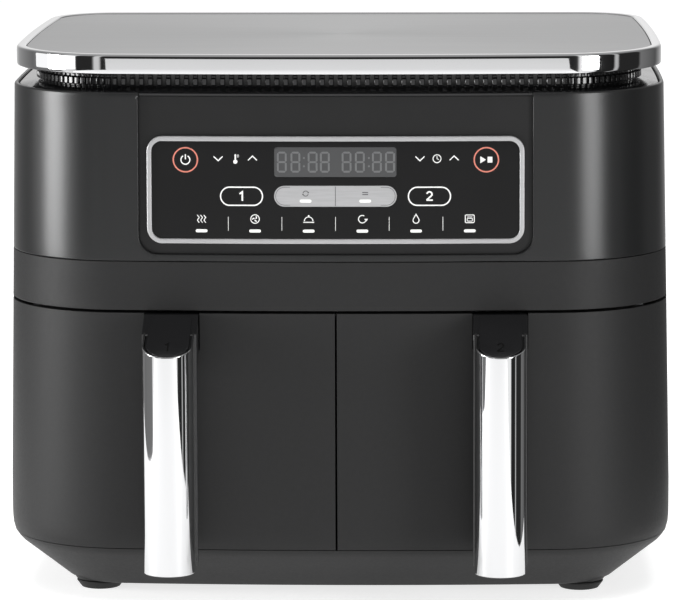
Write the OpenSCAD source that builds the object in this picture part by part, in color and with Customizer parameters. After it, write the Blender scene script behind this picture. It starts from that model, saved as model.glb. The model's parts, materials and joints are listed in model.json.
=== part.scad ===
// Twin-drawer air fryer, free standing.
// Origin: centre of the overall box, on the table. +X to the right, +Y to the back, +Z up.
// The right-hand parts are drawn once and mirrored for the left-hand side.

/* [Body] */
// Width of the body at its widest
body_w = 394; // [390:1:402]
// Overall depth, handle fronts to rear vent
overall_d = 352; // [350:1:356]
// Overall height, feet to lid
overall_h = 325; // [323:1:328]
// Radius of the two front corners in plan
front_corner_r = 72; // [60:0.5:80]
// Radius of the two rear corners in plan
back_corner_r = 45; // [42:1:52]
// Radius of the gentle bow across the front
bow_r = 1800; // [1200:10:2600]
// Radius of the gentle bow along each side
side_r = 2300; // [2000:50:3000]
// Wall of the plastic and metal shells
shell_t = 2.8; // [2.4:0.1:3]

/* [Drawers] */
// Distance from the centre line to the middle of each cooking zone
zone_x = 93; // [92.5:0.5:93.5]
// Gap between the two drawer fronts
drawer_gap = 1.2; // [0.8:0.1:2]
// Height of the basket rim above the table
basket_rim_z = 150; // [146:1:151]

/* [Handles] */
// Distance from the centre line to the middle of each handle
handle_x = 95.8; // [95:0.1:97]
// Width of the bright front of a handle
handle_w = 29.4; // [28:0.1:30.4]
// Width of the dark core behind it
core_w = 31.6; // [30.8:0.1:33]
// Height of the lower end of a handle above the table
handle_low_z = 28.7; // [26:0.1:40]

/* [Control panel] */
// Width of the bright frame
panel_w = 219.6; // [212:0.1:224]
// Height of the bright frame
panel_h = 62.5; // [60:0.1:65]

/* [Hidden] */
$fn = 64;
eps = 0.05;
front_y = -124;
back_y = 156;
handle_front_y = -overall_d / 2;
bow_steps = 12;
corner_steps = 10;
side_steps = 6;

// Heights of the stacked housing parts
tray_z = 8;
tray_top_z = 32.6;
drawer_low_z = 33.9;
drawer_top_z = 174;
housing_open_z = 175.6;
band_top_z = 204.3;
satin_low_z = 204.6;
shell_top_z = 303;
collar_low_z = 301;
lid_low_z = 313.5;

// How far the outer skin is drawn in from its widest, against height
side_profile = [[tray_z, 34.3], [31, 3.8], [tray_top_z, 2.7], [drawer_low_z, 2.4], [38, 1], [42, 0.25],
    [46, 0], [65, 0], [shell_top_z, 4.5], [overall_h, 4.5]];
split_y = -50;          // rear edge of the drawer fronts at the sides
shield_back_y = -83.2;  // back of the sheet behind each drawer front
split_gap = 1.2;
panel_joint = 0.1;      // gap where two sheets or panels meet edge to edge
corner_panel_y = 104;   // where the side panels meet the back panel
corner_soft_r = 6;      // rounding where the drawer seam turns down the side

// Cooking zone
zone_y = 20;            // centre of fan, heater and motor, front to back
liner_half_w = 88.5;
liner_front_y = -79.8;
liner_back_y = 125;
liner_low_z = 35.2;
liner_top_z = 159;
dome_r = 76;
dome_top_z = 205;
basket_half_w = 84.5;
basket_front_y = -80.5;
basket_back_y = 117.5;
basket_low_z = 38.6;
basket_t = 1.6;
switch_z = 65;          // height of the switches that sense a closed drawer
plate_z = 56;
plate_t = 1.5;
plate_half_w = 76;
plate_front_y = -72;
plate_back_y = 109;

// Handle
slant = 17 / 52;        // fall of the handle top towards the front
clad_t = 1.2;
clad_back_y = -146;
grip_back_y = -137;
pocket_half_w = 17.4;
pocket_floor_y = -111;
pocket_corner_r = 6;

// Control panel, in its own leaning frame on the front of the satin shell
panel_z = 246.5;
lean = atan(4.5 / (shell_top_z - 65));
panel_inset = 4.5 * (panel_z - 65) / (shell_top_z - 65);
panel_bow_r = bow_r - panel_inset;
recess_half_w = 114.8;
recess_low = -37.9;
recess_depth = 3;
frame_band = 2.8;
display_half_w = 35.6;
display_half_h = 8.8;
display_up = 16.4;
strip_up = -3.5;
strip_half_h = 6.1;
lamp_up = -23.9;
lamp_pitch = 31.2;

// Places of the underside screws, right half
tray_screws = [[60, -60], [60, 110], [150, 30]];
foot_places = [[143.4, -63], [143.4, 112]];
gland_x = 130;
gland_z = 60;
gland_bore_r = 3.75;

// ---------- outlines and lofts ----------

function drop_last(list) = [for (k = [0:len(list) - 2]) list[k]];

function arc_points(cx, cy, r, from, to, steps) =
    [for (k = [0:steps]) let (t = from + (to - from) * k / steps) [cx + r * cos(t), cy + r * sin(t)]];

// Angle at which the front bow hands over to the front corner arcs
bow_half = asin((body_w / 2 - front_corner_r) / (bow_r - front_corner_r));
bow_y = front_y + bow_r;
front_corner_y = bow_y - (bow_r - front_corner_r) * cos(bow_half);

// Angle at which the side bow hands over to the rear corner arc, and that arc's centre in x
side_half = asin((back_y - back_corner_r - front_corner_y) / (side_r - back_corner_r));
side_x = body_w / 2 - side_r;
back_corner_x = side_x + (side_r - back_corner_r) * cos(side_half);

// Plan outline of the body, drawn in by i all round, anticlockwise from the front left
function outline(i) =
    let (xf = body_w / 2 - front_corner_r, rf = front_corner_r - i, rb = back_corner_r - i,
         yb = back_y - back_corner_r, rs = side_r - i)
    concat(
        drop_last(arc_points(0, bow_y, bow_r - i, 270 - bow_half, 270 + bow_half, bow_steps)),
        drop_last(arc_points(xf, front_corner_y, rf, 270 + bow_half, 360, corner_steps)),
        drop_last(arc_points(side_x, front_corner_y, rs, 0, side_half, side_steps)),
        arc_points(back_corner_x, yb, rb, side_half, 90, corner_steps),
        drop_last(arc_points(-back_corner_x, yb, rb, 90, 180 - side_half, corner_steps)),
        drop_last(arc_points(-side_x, front_corner_y, rs, 180 - side_half, 180, side_steps)),
        drop_last(arc_points(-xf, front_corner_y, rf, 180, 270 - bow_half, corner_steps)));

function inset_at(z) = lookup(z, side_profile);

function at_height(points, z) = [for (p = points) [p[0], p[1], z]];

// The body's outline at height z, drawn in by a further off
function body_ring(z, off = 0) = at_height(outline(inset_at(z) + off), z);

// Rectangle with round corners, anticlockwise
function rounded(x0, y0, x1, y1, r, steps = 6) =
    concat(
        arc_points(x1 - r, y0 + r, r, 270, 360, steps),
        arc_points(x1 - r, y1 - r, r, 0, 90, steps),
        arc_points(x0 + r, y1 - r, r, 90, 180, steps),
        arc_points(x0 + r, y0 + r, r, 180, 270, steps));

// Solid through rings of equal length: capped at both ends, or joined end to end if closed
module skin(rings, closed = false) {
    n = len(rings[0]);
    m = len(rings);
    last = closed ? m - 1 : m - 2;
    sides = [for (j = [0:last], k = [0:n - 1])
        let (a = j * n + k, b = j * n + (k + 1) % n,
             c = ((j + 1) % m) * n + (k + 1) % n, d = ((j + 1) % m) * n + k)
        each [[a, d, c], [a, c, b]]];
    caps = closed ? [] : [[for (k = [0:n - 1]) k], [for (k = [n - 1:-1:0]) (m - 1) * n + k]];
    polyhedron([for (ring = rings) each ring], concat(sides, caps));
}

// Band of the body skin between the heights in zs, t thick
module body_band(zs, t) {
    up = [for (z = zs) body_ring(z)];
    down = [for (k = [len(zs) - 1:-1:0]) body_ring(zs[k], t)];
    skin(concat(up, down), closed = true);
}

module box(low, high) {
    translate(low) cube(high - low);
}

module slab(points, z0, z1) {
    translate([0, 0, z0]) linear_extrude(z1 - z0) polygon(points);
}

// Prism along X whose section is drawn in (y, z)
module along_x(points, x0, x1) {
    translate([x0, 0, 0]) rotate([90, 0, 90]) linear_extrude(x1 - x0) polygon(points);
}

// Round bar along Y
module rod_y(x, z, y0, y1, r) {
    translate([x, y0, z]) rotate([-90, 0, 0]) cylinder(r = r, h = y1 - y0);
}

module post(x, y, z0, z1, r) {
    translate([x, y, z0]) cylinder(r = r, h = z1 - z0);
}

module on_side(side) {
    if (side < 0) mirror([1, 0, 0]) children();
    else children();
}

module both_sides() {
    children();
    mirror([1, 0, 0]) children();
}

// ---------- base ----------

module base_tray() {
    color("#1c1c1d") difference() {
        union() {
            skin([body_ring(tray_z), body_ring(31), body_ring(tray_top_z),
                body_ring(tray_top_z, 2.5), body_ring(30, 3.4), at_height(outline(inset_at(11) + 3.4), 11)]);
            both_sides() {
                for (p = foot_places) translate([p[0], p[1], 5]) cylinder(r1 = 14.8, r2 = 18.6, h = 6.5);
                for (p = tray_screws) post(p[0], p[1], 10, 24, 5);
            }
        }
        both_sides() {
            for (p = tray_screws) post(p[0], p[1], 0, 23, 2.2);
            for (k = [0:6]) box([35 + k * 9, 5, 0], [39 + k * 9, 60, 20]);
            for (p = foot_places) post(p[0], p[1], 0, 9, 3);
        }
    }
}

module rubber_feet() {
    color("#0c0c0c") both_sides() for (p = foot_places) translate([p[0], p[1], 0]) {
        cylinder(r1 = 11.5, r2 = 14.4, h = 4.9);
        translate([0, 0, 4]) cylinder(r = 2.9, h = 4.8);
    }
}

module screw_up(x, y, z, length) {
    translate([x, y, z]) difference() {
        union() {
            cylinder(r = 4, h = 1.9);
            cylinder(r = 2, h = 2 + length);
        }
        translate([-2.4, -0.4, -1]) cube([4.8, 0.8, 2]);
        translate([-0.4, -2.4, -1]) cube([0.8, 4.8, 2]);
    }
}

module case_screws() {
    color("#8d8f92") {
        both_sides() for (p = tray_screws) screw_up(p[0], p[1], 6, 14);
        both_sides() for (z = rear_screw_zs)
            translate([rear_screw_x, overall_d / 2 - 0.4, z]) rotate([90, 0, 0]) {
                difference() {
                    cylinder(r = 3.4, h = 2);
                    translate([-2.2, -0.4, -1]) cube([4.4, 0.8, 1.8]);
                    translate([-0.4, -2.2, -1]) cube([0.8, 4.4, 1.8]);
                }
                cylinder(r = 1.6, h = 12);
            }
    }
}

// ---------- housing ----------

// Space that the two drawer fronts take out of the housing, as a (y, z) outline
function front_opening() = rounded(-260, -60, split_y + split_gap, housing_open_z, corner_soft_r);

// The band over the drawers is one moulding. The walls below it are three panels, fitted edge to edge.
module main_housing() {
    color("#262627") {
        difference() {
            union() {
                body_band([housing_open_z, band_top_z], shell_t);
                // floor of the brow that hangs over the drawers
                intersection() {
                    slab(outline(inset_at(190) + 1), housing_open_z, housing_open_z + 2.4);
                    box([-250, -200, 0], [250, -83, 300]);
                }
            }
            both_sides() box([zone_x - 25, 140, 172], [zone_x + 25, 170, 196]);
        }
        difference() {
            body_band([tray_top_z + 0.2, 38, 46, 65, housing_open_z - panel_joint], shell_t);
            along_x(front_opening(), -250, 250);
            box([-250, corner_panel_y, 0], [250, corner_panel_y + panel_joint, 250]);
            both_sides() box([zone_x - 25, 140, 172], [zone_x + 25, 170, 196]);
            rod_y(gland_x, gland_z, 140, 170, 7.1);
        }
    }
}

// Outline of the fascia recess in the panel frame, open at the top
function recess_outline() = rounded(-recess_half_w, recess_low, recess_half_w, 90, 11);

module on_panel() {
    translate([0, front_y + panel_inset, panel_z]) rotate([-lean, 0, 0]) children();
}

// Prism through the front, from a (x, up) outline
module through_front(points, y0 = -20, y1 = 30) {
    translate([0, y1, 0]) rotate([90, 0, 0]) linear_extrude(y1 - y0) polygon(points);
}

// Part of the bowed front between two depths, inside a (x, up) outline
module bowed(points, depth0, depth1) {
    intersection() {
        translate([0, panel_bow_r, 0]) difference() {
            cylinder(r = panel_bow_r - depth0, h = 300, center = true, $fn = 360);
            cylinder(r = panel_bow_r - depth1, h = 301, center = true, $fn = 360);
        }
        through_front(points);
    }
}

module upper_shell() {
    color("#3b3c3e") difference() {
        skin([body_ring(satin_low_z), body_ring(shell_top_z - 2.5), body_ring(shell_top_z - 0.7, 0.7),
            body_ring(shell_top_z, 2.2), body_ring(shell_top_z, shell_t), body_ring(satin_low_z, shell_t)],
            closed = true);
        on_panel() through_front(recess_outline());
        box([-100, 140, 212], [100, 170, 280]);
    }
}

module fascia() {
    color("#2b2c2e") on_panel() difference() {
        bowed(rounded(-121, -39.4, 121, 54.4, 8), recess_depth + 0.15, recess_depth + 2.6);
        through_front(rounded(-34, display_up - 8, 34, display_up + 8, 1));
    }
}

module control_frame() {
    w = panel_w / 2;
    h = panel_h / 2;
    color("#b9babc") on_panel() difference() {
        bowed(rounded(-w, -h, w, h, 9.5, 8), -0.6, recess_depth + 0.1);
        through_front(rounded(frame_band - w, frame_band - h, w - frame_band, h - frame_band, 6.3, 8));
    }
}

module touch_panel() {
    w = panel_w / 2 - frame_band - 0.15;
    h = panel_h / 2 - frame_band - 0.15;
    color("#0f0f10") on_panel() difference() {
        bowed(rounded(-w, -h, w, h, 6.2, 8), 1, recess_depth + 0.1);
        through_front(display_outline(0));
    }
}

function display_outline(i) = rounded(i - display_half_w, display_up - display_half_h + i,
    display_half_w - i, display_up + display_half_h - i, 2);

module display_lens() {
    color("#4a4c4e") on_panel() bowed(display_outline(0.1), 0.95, recess_depth + 0.05);
}

module mode_strip() {
    w = display_half_w;
    color("#b0b1b3") on_panel() bowed(rounded(-w, strip_up - strip_half_h, w, strip_up + strip_half_h,
        strip_half_h - eps, 8), 0.7, 0.97);
}

module lamp(x, up, depth) {
    bowed(rounded(x - 3.4, up - 0.9, x + 3.4, up + 0.9, 0.85, 4), depth - 0.3, depth);
}

module indicator_lamps() {
    color("#f4f4f2") on_panel() {
        for (k = [-2.5:1:2.5]) lamp(k * lamp_pitch, lamp_up, 0.97);
        for (s = [-1, 1]) lamp(s * 17.3, strip_up - 2.8, 0.67);
    }
}

module control_board() {
    color("#1e4a2c") on_panel() {
        box([-100, 12, -30], [100, 13.6, 30]);
        box([-33, 3.8, display_up - 7.4], [33, 12, display_up + 7.4]);
        for (k = [-2.5:1:2.5])
            box([k * lamp_pitch - 2, 9.5, lamp_up - 1.5], [k * lamp_pitch + 2, 12, lamp_up + 1.5]);
        box([-80, 13.6, -20], [-55, 22, -8]);
        box([40, 13.6, -10], [60, 17, 10]);
    }
}

// Chassis: bulkhead round the two drawer mouths, and the wall between the two zones
module inner_frame() {
    color("#2f3032") {
        difference() {
            box([-180, -82, tray_top_z + 0.4], [180, -80.8, 203]);
            both_sides() box([zone_x - 87.5, -90, 36.2], [zone_x + 87.5, -70, 158]);
        }
        both_sides() {
            box([2, -81, 11.2], [3, 118, 212]);
            box([2, 117, 34], [3, 140, 212]);
            difference() {
                box([2.5, 128, 34], [178, 129.2, 76]);
                rod_y(zone_x, switch_z, 120, 135, 3);
            }
        }
        box([-3, 138.8, 34], [3, 140, 212]);
    }
}

// Ledges that carry the basket rims, two in each zone
module drawer_rails() {
    color("#a2a3a5") both_sides() for (s = [-1, 1])
        box([zone_x + s * 86.3 - 1.1, -78, 142], [zone_x + s * 86.3 + 1.1, 112, basket_rim_z - 1.9]);
}

// ---------- cooking zones ----------

// Five flat sheets: floor, two sides, back, and a top with the air opening
module cavity_liner() {
    x0 = zone_x - liner_half_w;
    x1 = zone_x + liner_half_w;
    z0 = liner_low_z + 1 + panel_joint;
    z1 = liner_top_z - 1 - panel_joint;
    y1 = liner_back_y - 1;
    color("#8f9092") {
        box([x0, liner_front_y, liner_low_z], [x1, liner_back_y, liner_low_z + 1]);
        for (x = [x0, x1 - 1]) box([x, liner_front_y, z0], [x + 1, y1 - panel_joint, z1]);
        difference() {
            box([x0, y1, z0], [x1, liner_back_y, z1]);
            rod_y(zone_x, switch_z, 110, 130, 3);
        }
        difference() {
            box([x0, liner_front_y, liner_top_z - 1], [x1, liner_back_y, liner_top_z]);
            post(zone_x, zone_y, 150, 170, 70);
            post(zone_x, 108, 150, 170, 2.2);
        }
    }
}

module heater_dome() {
    color("#9a9b9d") difference() {
        union() {
            post(zone_x, zone_y, liner_top_z + 0.2, liner_top_z + 1.4, dome_r + 8);
            post(zone_x, zone_y, liner_top_z + 0.2, dome_top_z, dome_r);
            box([zone_x - 25, zone_y + 60, 172], [zone_x + 25, 148, 196]);
        }
        post(zone_x, zone_y, 150, dome_top_z - 1, dome_r - 1);
        post(zone_x, zone_y, 190, 220, 6);
        box([zone_x - 24, zone_y + 55, 173], [zone_x + 24, 160, 195]);
    }
}

module ring_bar(r, bar_r) {
    rotate_extrude() translate([r, 0]) circle(r = bar_r, $fn = 24);
}

module heating_element() {
    color("#77726c") translate([zone_x, zone_y, 174]) {
        for (r = [34, 48, 62]) ring_bar(r, 3.2);
        for (t = [0, 120, 240]) rotate([0, 0, t]) box([30, -4, -1], [66, 4, 1]);
    }
}

module heater_guard() {
    color("#a5a6a8") translate([zone_x, zone_y, 162]) {
        for (r = [14:11:69]) ring_bar(r, 1.1);
        for (t = [0, 60, 120]) rotate([0, 0, t]) box([-71, -1.5, -0.7], [71, 1.5, 0.7]);
    }
}

module hot_air_fan() {
    color("#b4b5b7") translate([zone_x, zone_y, 0]) difference() {
        union() {
            post(0, 0, 183, 195, 9);
            post(0, 0, 194, 195, 55);
            for (k = [0:9]) rotate([0, 0, k * 36]) rotate([0, 0, 18]) box([8, -0.6, 183], [53, 0.6, 194.5]);
        }
        post(0, 0, 170, 200, 3.02);
    }
}

module motor_shaft() {
    color("#c9cacc") post(zone_x, zone_y, 181, 266, 3);
}

module cooling_fan() {
    color("#d9d9d6") translate([zone_x, zone_y, 0]) difference() {
        union() {
            post(0, 0, 252, 263, 8);
            for (k = [0:6]) rotate([0, 0, k * 360 / 7]) translate([20, 0, 257.5]) rotate([32, 0, 0])
                cube([26, 13, 1.2], center = true);
        }
        post(0, 0, 240, 280, 3.02);
    }
}

module fan_motor() {
    color("#5d5f63") translate([zone_x, zone_y, 0]) difference() {
        union() {
            post(0, 0, 210.2, 216, 20);
            slab(rounded(-25, -25, 25, 25, 6), 216, 234);
            post(0, 0, 234, 242, 19);
            post(0, 0, 242, 246, 7);
        }
        post(0, 0, 200, 250, 3.06);
    }
}

module motor_bracket() {
    color("#a9aaac") translate([zone_x, zone_y, 0]) difference() {
        union() {
            box([-60, -14, 208], [60, 14, 210]);
            for (s = [-1, 1]) box([s * 58 - 2, -14, dome_top_z + 0.2], [s * 58 + 2, 14, 209]);
        }
        post(0, 0, 200, 220, 6);
    }
}

module temperature_probes() {
    color("#c2c3c5") both_sides() {
        post(zone_x, 108, 152.5, 171.5, 2);
        post(zone_x, 108, 160, 164, 3.5);
    }
}

module drawer_switch() {
    color("#d7d3c4") difference() {
        box([zone_x - 10, 130.2, switch_z - 8], [zone_x + 10, 140, switch_z + 8]);
        rod_y(zone_x, switch_z, 120, 136, 2.06);
    }
}

module switch_button() {
    color("#a3261f") rod_y(zone_x, switch_z, 119.6, 133, 2);
}

module power_board() {
    color("#2c5e38") {
        box([-1, -50, 213], [0.8, 62, 290]);
        box([0.8, -40, 225], [16, -22, 245]);
        box([0.8, -40, 252], [16, -22, 272]);
        box([0.8, 10, 222], [22, 38, 250]);
        translate([0.8, -6, 236]) rotate([0, 90, 0]) cylinder(r = 7, h = 20);
        translate([0.8, -6, 262]) rotate([0, 90, 0]) cylinder(r = 7, h = 20);
        box([-14, 30, 260], [-1, 56, 284]);
    }
}

// ---------- back ----------

rear_half_w = 126;
rear_low_z = 165;
rear_high_z = 288;
rear_screw_x = rear_half_w - 8;
rear_screw_zs = [rear_low_z + 9, rear_high_z - 9];
louvre_pitch = 8;

// Back of the body at height z, in y
function rear_wall_y(z) = back_y - inset_at(z) + 0.15;

module rear_vent_cover() {
    y1 = overall_d / 2;
    wall = 2.6;
    color("#232324") difference() {
        intersection() {
            union() {
                difference() {
                    translate([0, y1, 0]) rotate([90, 0, 0]) linear_extrude(30)
                        polygon(rounded(-rear_half_w, rear_low_z, rear_half_w, rear_high_z, 14));
                    translate([0, y1 - wall, 0]) rotate([90, 0, 0]) linear_extrude(30)
                        polygon(rounded(wall - rear_half_w, rear_low_z + wall,
                            rear_half_w - wall, rear_high_z - wall, 14 - wall));
                }
                both_sides() for (z = rear_screw_zs) rod_y(rear_screw_x, z, 150, y1 - 1, 4.5);
            }
            along_x([for (z = [rear_low_z, rear_high_z]) [rear_wall_y(z), z],
                [200, rear_high_z], [200, rear_low_z]], -200, 200);
        }
        for (k = [0:12]) box([-98, y1 - 10, 176 + k * louvre_pitch], [98, y1 + 5, 180 + k * louvre_pitch]);
        both_sides() for (z = rear_screw_zs) {
            rod_y(rear_screw_x, z, y1 - 2.45, y1 + 5, 3.6);
            rod_y(rear_screw_x, z, y1 - 13.5, y1 + 5, 1.75);
        }
    }
}

module cord_gland() {
    color("#101011") difference() {
        union() {
            rod_y(gland_x, gland_z, 150, 153, 10);
            rod_y(gland_x, gland_z, 150, 164, 7);
            rod_y(gland_x, gland_z, 156.15, 159, 10);
        }
        rod_y(gland_x, gland_z, 140, 170, gland_bore_r);
    }
}

// ---------- top ----------

neck_inset = 20;
vent_pitch = 10.9;

module vent_collar() {
    i = inset_at(shell_top_z);
    color("#121213") difference() {
        skin([at_height(outline(i + shell_t + 0.4), collar_low_z),
            at_height(outline(i + shell_t + 0.4), collar_low_z + 1.4),
            at_height(outline(neck_inset), 304.6), at_height(outline(neck_inset), lid_low_z - 0.1),
            at_height(outline(neck_inset + 2), lid_low_z - 0.1), at_height(outline(neck_inset + 2), collar_low_z)],
            closed = true);
        for (k = [-12.5:1:12.5]) box([k * vent_pitch - 3.6, -200, 306], [k * vent_pitch + 3.6, 200, 312]);
        for (k = [-6:1:6])
            box([-250, 22 + k * vent_pitch - 3.6, 306], [250, 22 + k * vent_pitch + 3.6, 312]);
    }
}

module lid_frame() {
    color("#1a1a1b") difference() {
        slab(outline(12.3), lid_low_z, overall_h - 2);
        slab(outline(30), lid_low_z - 1, overall_h - 4.6);
    }
}

module lid_trim() {
    color("#dcdddf") skin([at_height(outline(6.8), lid_low_z), at_height(outline(6), lid_low_z + 0.9),
        at_height(outline(6), overall_h - 1.3), at_height(outline(6.4), overall_h - 0.35),
        at_height(outline(7.4), overall_h), at_height(outline(11.2), overall_h - 0.1),
        at_height(outline(12), overall_h - 0.9), at_height(outline(12), lid_low_z)], closed = true);
}

module lid_plate() {
    color("#b7b8ba") slab(outline(12.25), overall_h - 1.9, overall_h - 0.7);
}

// ---------- drawers ----------

// Space of the right-hand drawer front in (y, z)
function drawer_section() = rounded(-260, drawer_low_z, split_y, drawer_top_z, corner_soft_r);

module drawer_front() {
    color("#272728") difference() {
        union() {
            difference() {
                intersection() {
                    skin([for (z = [drawer_low_z, 38, 42, 46, 65, drawer_top_z]) body_ring(z)]);
                    along_x(drawer_section(), drawer_gap / 2, 230);
                }
                intersection() {
                    skin([for (z = [drawer_low_z + 2.6, 42, 46, 65, drawer_top_z - 2.4]) body_ring(z, shell_t)]);
                    box([drawer_gap / 2 + 2.6, -200, 0], [230, split_y + 10, 300]);
                }
                // behind the front, only the outer skin runs on along the side
                intersection() {
                    skin([for (z = [drawer_low_z - 1, 38, 42, 46, 65, drawer_top_z + 1]) body_ring(z, shell_t)]);
                    box([0, shield_back_y - 2, 0], [230, split_y + 10, 300]);
                }
            }
            box([handle_x - 20, -118.5, 145], [handle_x + 20, pocket_floor_y + 2, drawer_top_z - 0.6]);
            for (p = [[20, 50, -121.5], [20, 158, -121.5], [160, 50, -107.2], [160, 158, -105.4]])
                rod_y(p[0], p[1], p[2], shield_back_y - 1.1, 4);
        }
        translate([0, pocket_floor_y, 0]) rotate([90, 0, 0]) linear_extrude(40)
            polygon(rounded(handle_x - pocket_half_w, 148, handle_x + pocket_half_w, 200, pocket_corner_r));
        for (s = [-1, 1]) rod_y(handle_x + s * 8, 162, -125, -100, 2.2);
    }
}

module drawer_heat_shield() {
    color("#9c9da0") difference() {
        box([5, shield_back_y - 1, 38], [179, shield_back_y, 168]);
        for (s = [-1, 1]) rod_y(handle_x + s * 8, 162, -90, -80, 5);
    }
}

function basket_ring(z, i) = at_height(rounded(zone_x - basket_half_w + i, basket_front_y + i,
    zone_x + basket_half_w - i, basket_back_y - i, 24 - i / 2), z);

module basket() {
    t = basket_t;
    rim = basket_rim_z;
    color("#3a3a3c") {
        skin([basket_ring(basket_low_z, 12), basket_ring(41, 7), basket_ring(48, 5),
            basket_ring(rim - 1.6, 0.1), basket_ring(rim - 1.6, -2.4), basket_ring(rim, -2.4),
            basket_ring(rim, t), basket_ring(49, 5 + t), basket_ring(42.4, 7 + t),
            basket_ring(basket_low_z + t, 12 + t)]);
        box([zone_x - 30, -83.1, 118], [zone_x + 30, -78.6, 144]);
        box([zone_x - 8, 111.8, switch_z - 8], [zone_x + 8, 119.2, switch_z + 8]);
    }
}

module crisper_plate() {
    x0 = zone_x - plate_half_w;
    x1 = zone_x + plate_half_w;
    color("#4a4a4c") difference() {
        slab(rounded(x0, plate_front_y, x1, plate_back_y, 20), plate_z - 4.5, plate_z + plate_t);
        slab(rounded(x0 + 1.4, plate_front_y + 1.4, x1 - 1.4, plate_back_y - 1.4, 18.6), plate_z - 6, plate_z);
        for (i = [-3:3], j = [-4:3])
            post(zone_x + i * 19, 29 + j * 20, plate_z - 2, plate_z + 4, 3.2);
    }
}

module plate_bumpers() {
    color("#17181a") translate([zone_x, 18.5, 0]) for (sx = [-1, 1], sy = [-1, 1]) {
        translate([sx * 58, sy * 72, 40.6]) cylinder(r1 = 4, r2 = 5, h = plate_z - 40.7);
        difference() {
            translate([sx * (plate_half_w + 0.2), sy * 48, plate_z - 1.5]) cube([3, 13, 9], center = true);
            translate([-zone_x, -18.5, 0]) slab(rounded(zone_x - plate_half_w, plate_front_y,
                zone_x + plate_half_w, plate_back_y, 20), plate_z - 4.5, plate_z + plate_t);
        }
    }
}

// ---------- handles ----------

function slant_z(y) = drawer_top_z - (front_y - y) * slant;

// Plan of the grip drawn in by i: straight sides and a half-round front
function grip_plan(i, back) =
    let (r = handle_w / 2 - i, cy = handle_front_y + handle_w / 2)
    concat([[handle_x + r, back], [handle_x - r, back]], arc_points(handle_x, cy, r, 180, 360, 16));

// Everything below the slanted top, in (y, z), down by drop
function under_slant(drop) = [[-200, 0], [-100, 0], [-100, drawer_top_z + 0.4 - drop],
    [front_y, drawer_top_z - drop], [-200, slant_z(-200) - drop]];

module handle_core() {
    half = core_w / 2;
    color("#141415") difference() {
        union() {
            intersection() {
                slab(grip_plan(clad_t + eps, clad_back_y + 1), handle_low_z + 1.3, 200);
                along_x(under_slant(1.6), 0, 200);
            }
            intersection() {
                slab(grip_plan(3.8, clad_back_y + 1), 100, 200);
                along_x(under_slant(0.1), 0, 200);
            }
            intersection() {
                box([handle_x - half, clad_back_y + eps, 0], [handle_x + half, pocket_floor_y - 0.1, 200]);
                along_x(concat([[-150, handle_low_z + 0.8], [grip_back_y, handle_low_z + 2.8]],
                    arc_points(grip_back_y + 15, 136, 15, 180, 90, 8),
                    [[-100, 151], [-100, drawer_top_z - 0.9], [front_y, drawer_top_z - 0.9],
                        [-150, slant_z(-150) - 0.5]]), 0, 200);
            }
        }
        for (s = [-1, 1]) rod_y(handle_x + s * 8, 162, -122, -100, 2.02);
    }
}

module handle_cladding() {
    color("#e3e4e6") difference() {
        intersection() {
            slab(grip_plan(0, clad_back_y), handle_low_z, 200);
            along_x(under_slant(0), 0, 200);
        }
        slab(grip_plan(clad_t, clad_back_y + 5), handle_low_z + 1.2, 210);
    }
}

module handle_screws() {
    color("#8d8f92") for (s = [-1, 1]) {
        rod_y(handle_x + s * 8, 162, -121, -108, 2);
        rod_y(handle_x + s * 8, 162, pocket_floor_y + 2.1, -106.5, 3.8);
    }
}

// ---------- nodes ----------

base_tray();
rubber_feet();
case_screws();
main_housing();
upper_shell();
inner_frame();
drawer_rails();
on_side(-1) cavity_liner();  // cavity_liner_left
on_side(1) cavity_liner();  // cavity_liner_right
on_side(-1) heater_dome();  // heater_dome_left
on_side(1) heater_dome();  // heater_dome_right
on_side(-1) heating_element();  // heating_element_left
on_side(1) heating_element();  // heating_element_right
on_side(-1) heater_guard();  // heater_guard_left
on_side(1) heater_guard();  // heater_guard_right
on_side(-1) fan_motor();  // fan_motor_left
on_side(1) fan_motor();  // fan_motor_right
on_side(-1) motor_bracket();  // motor_bracket_left
on_side(1) motor_bracket();  // motor_bracket_right
on_side(-1) drawer_switch();  // drawer_switch_left
on_side(1) drawer_switch();  // drawer_switch_right
on_side(-1) switch_button();  // switch_button_left
on_side(1) switch_button();  // switch_button_right
on_side(-1) hot_air_fan();  // hot_air_fan_left
on_side(1) hot_air_fan();  // hot_air_fan_right
on_side(-1) motor_shaft();  // motor_shaft_left
on_side(1) motor_shaft();  // motor_shaft_right
on_side(-1) cooling_fan();  // cooling_fan_left
on_side(1) cooling_fan();  // cooling_fan_right
control_board();
power_board();
temperature_probes();
rear_vent_cover();
cord_gland();
vent_collar();
lid_frame();
lid_trim();
lid_plate();
fascia();
control_frame();
touch_panel();
display_lens();
mode_strip();
indicator_lamps();
on_side(-1) drawer_front();  // drawer_front_left
on_side(1) drawer_front();  // drawer_front_right
on_side(-1) drawer_heat_shield();  // drawer_heat_shield_left
on_side(1) drawer_heat_shield();  // drawer_heat_shield_right
on_side(-1) basket();  // basket_left
on_side(1) basket();  // basket_right
on_side(-1) handle_core();  // handle_core_left
on_side(1) handle_core();  // handle_core_right
on_side(-1) handle_cladding();  // handle_cladding_left
on_side(1) handle_cladding();  // handle_cladding_right
on_side(-1) handle_screws();  // handle_screws_left
on_side(1) handle_screws();  // handle_screws_right
on_side(-1) crisper_plate();  // crisper_plate_left
on_side(1) crisper_plate();  // crisper_plate_right
on_side(-1) plate_bumpers();  // plate_bumpers_left
on_side(1) plate_bumpers();  // plate_bumpers_right
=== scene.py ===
"""Looks of a twin-drawer air fryer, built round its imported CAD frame.

Lengths are in millimetres here and in metres in the meshes. The axes are the frame's: +X right, +Y back, +Z up."""

import json
from math import asin, atan, ceil, cos, pi, radians, sin

import bmesh
import bpy
import numpy as np
from mathutils import Matrix, Vector
from mathutils.geometry import delaunay_2d_cdt


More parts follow.
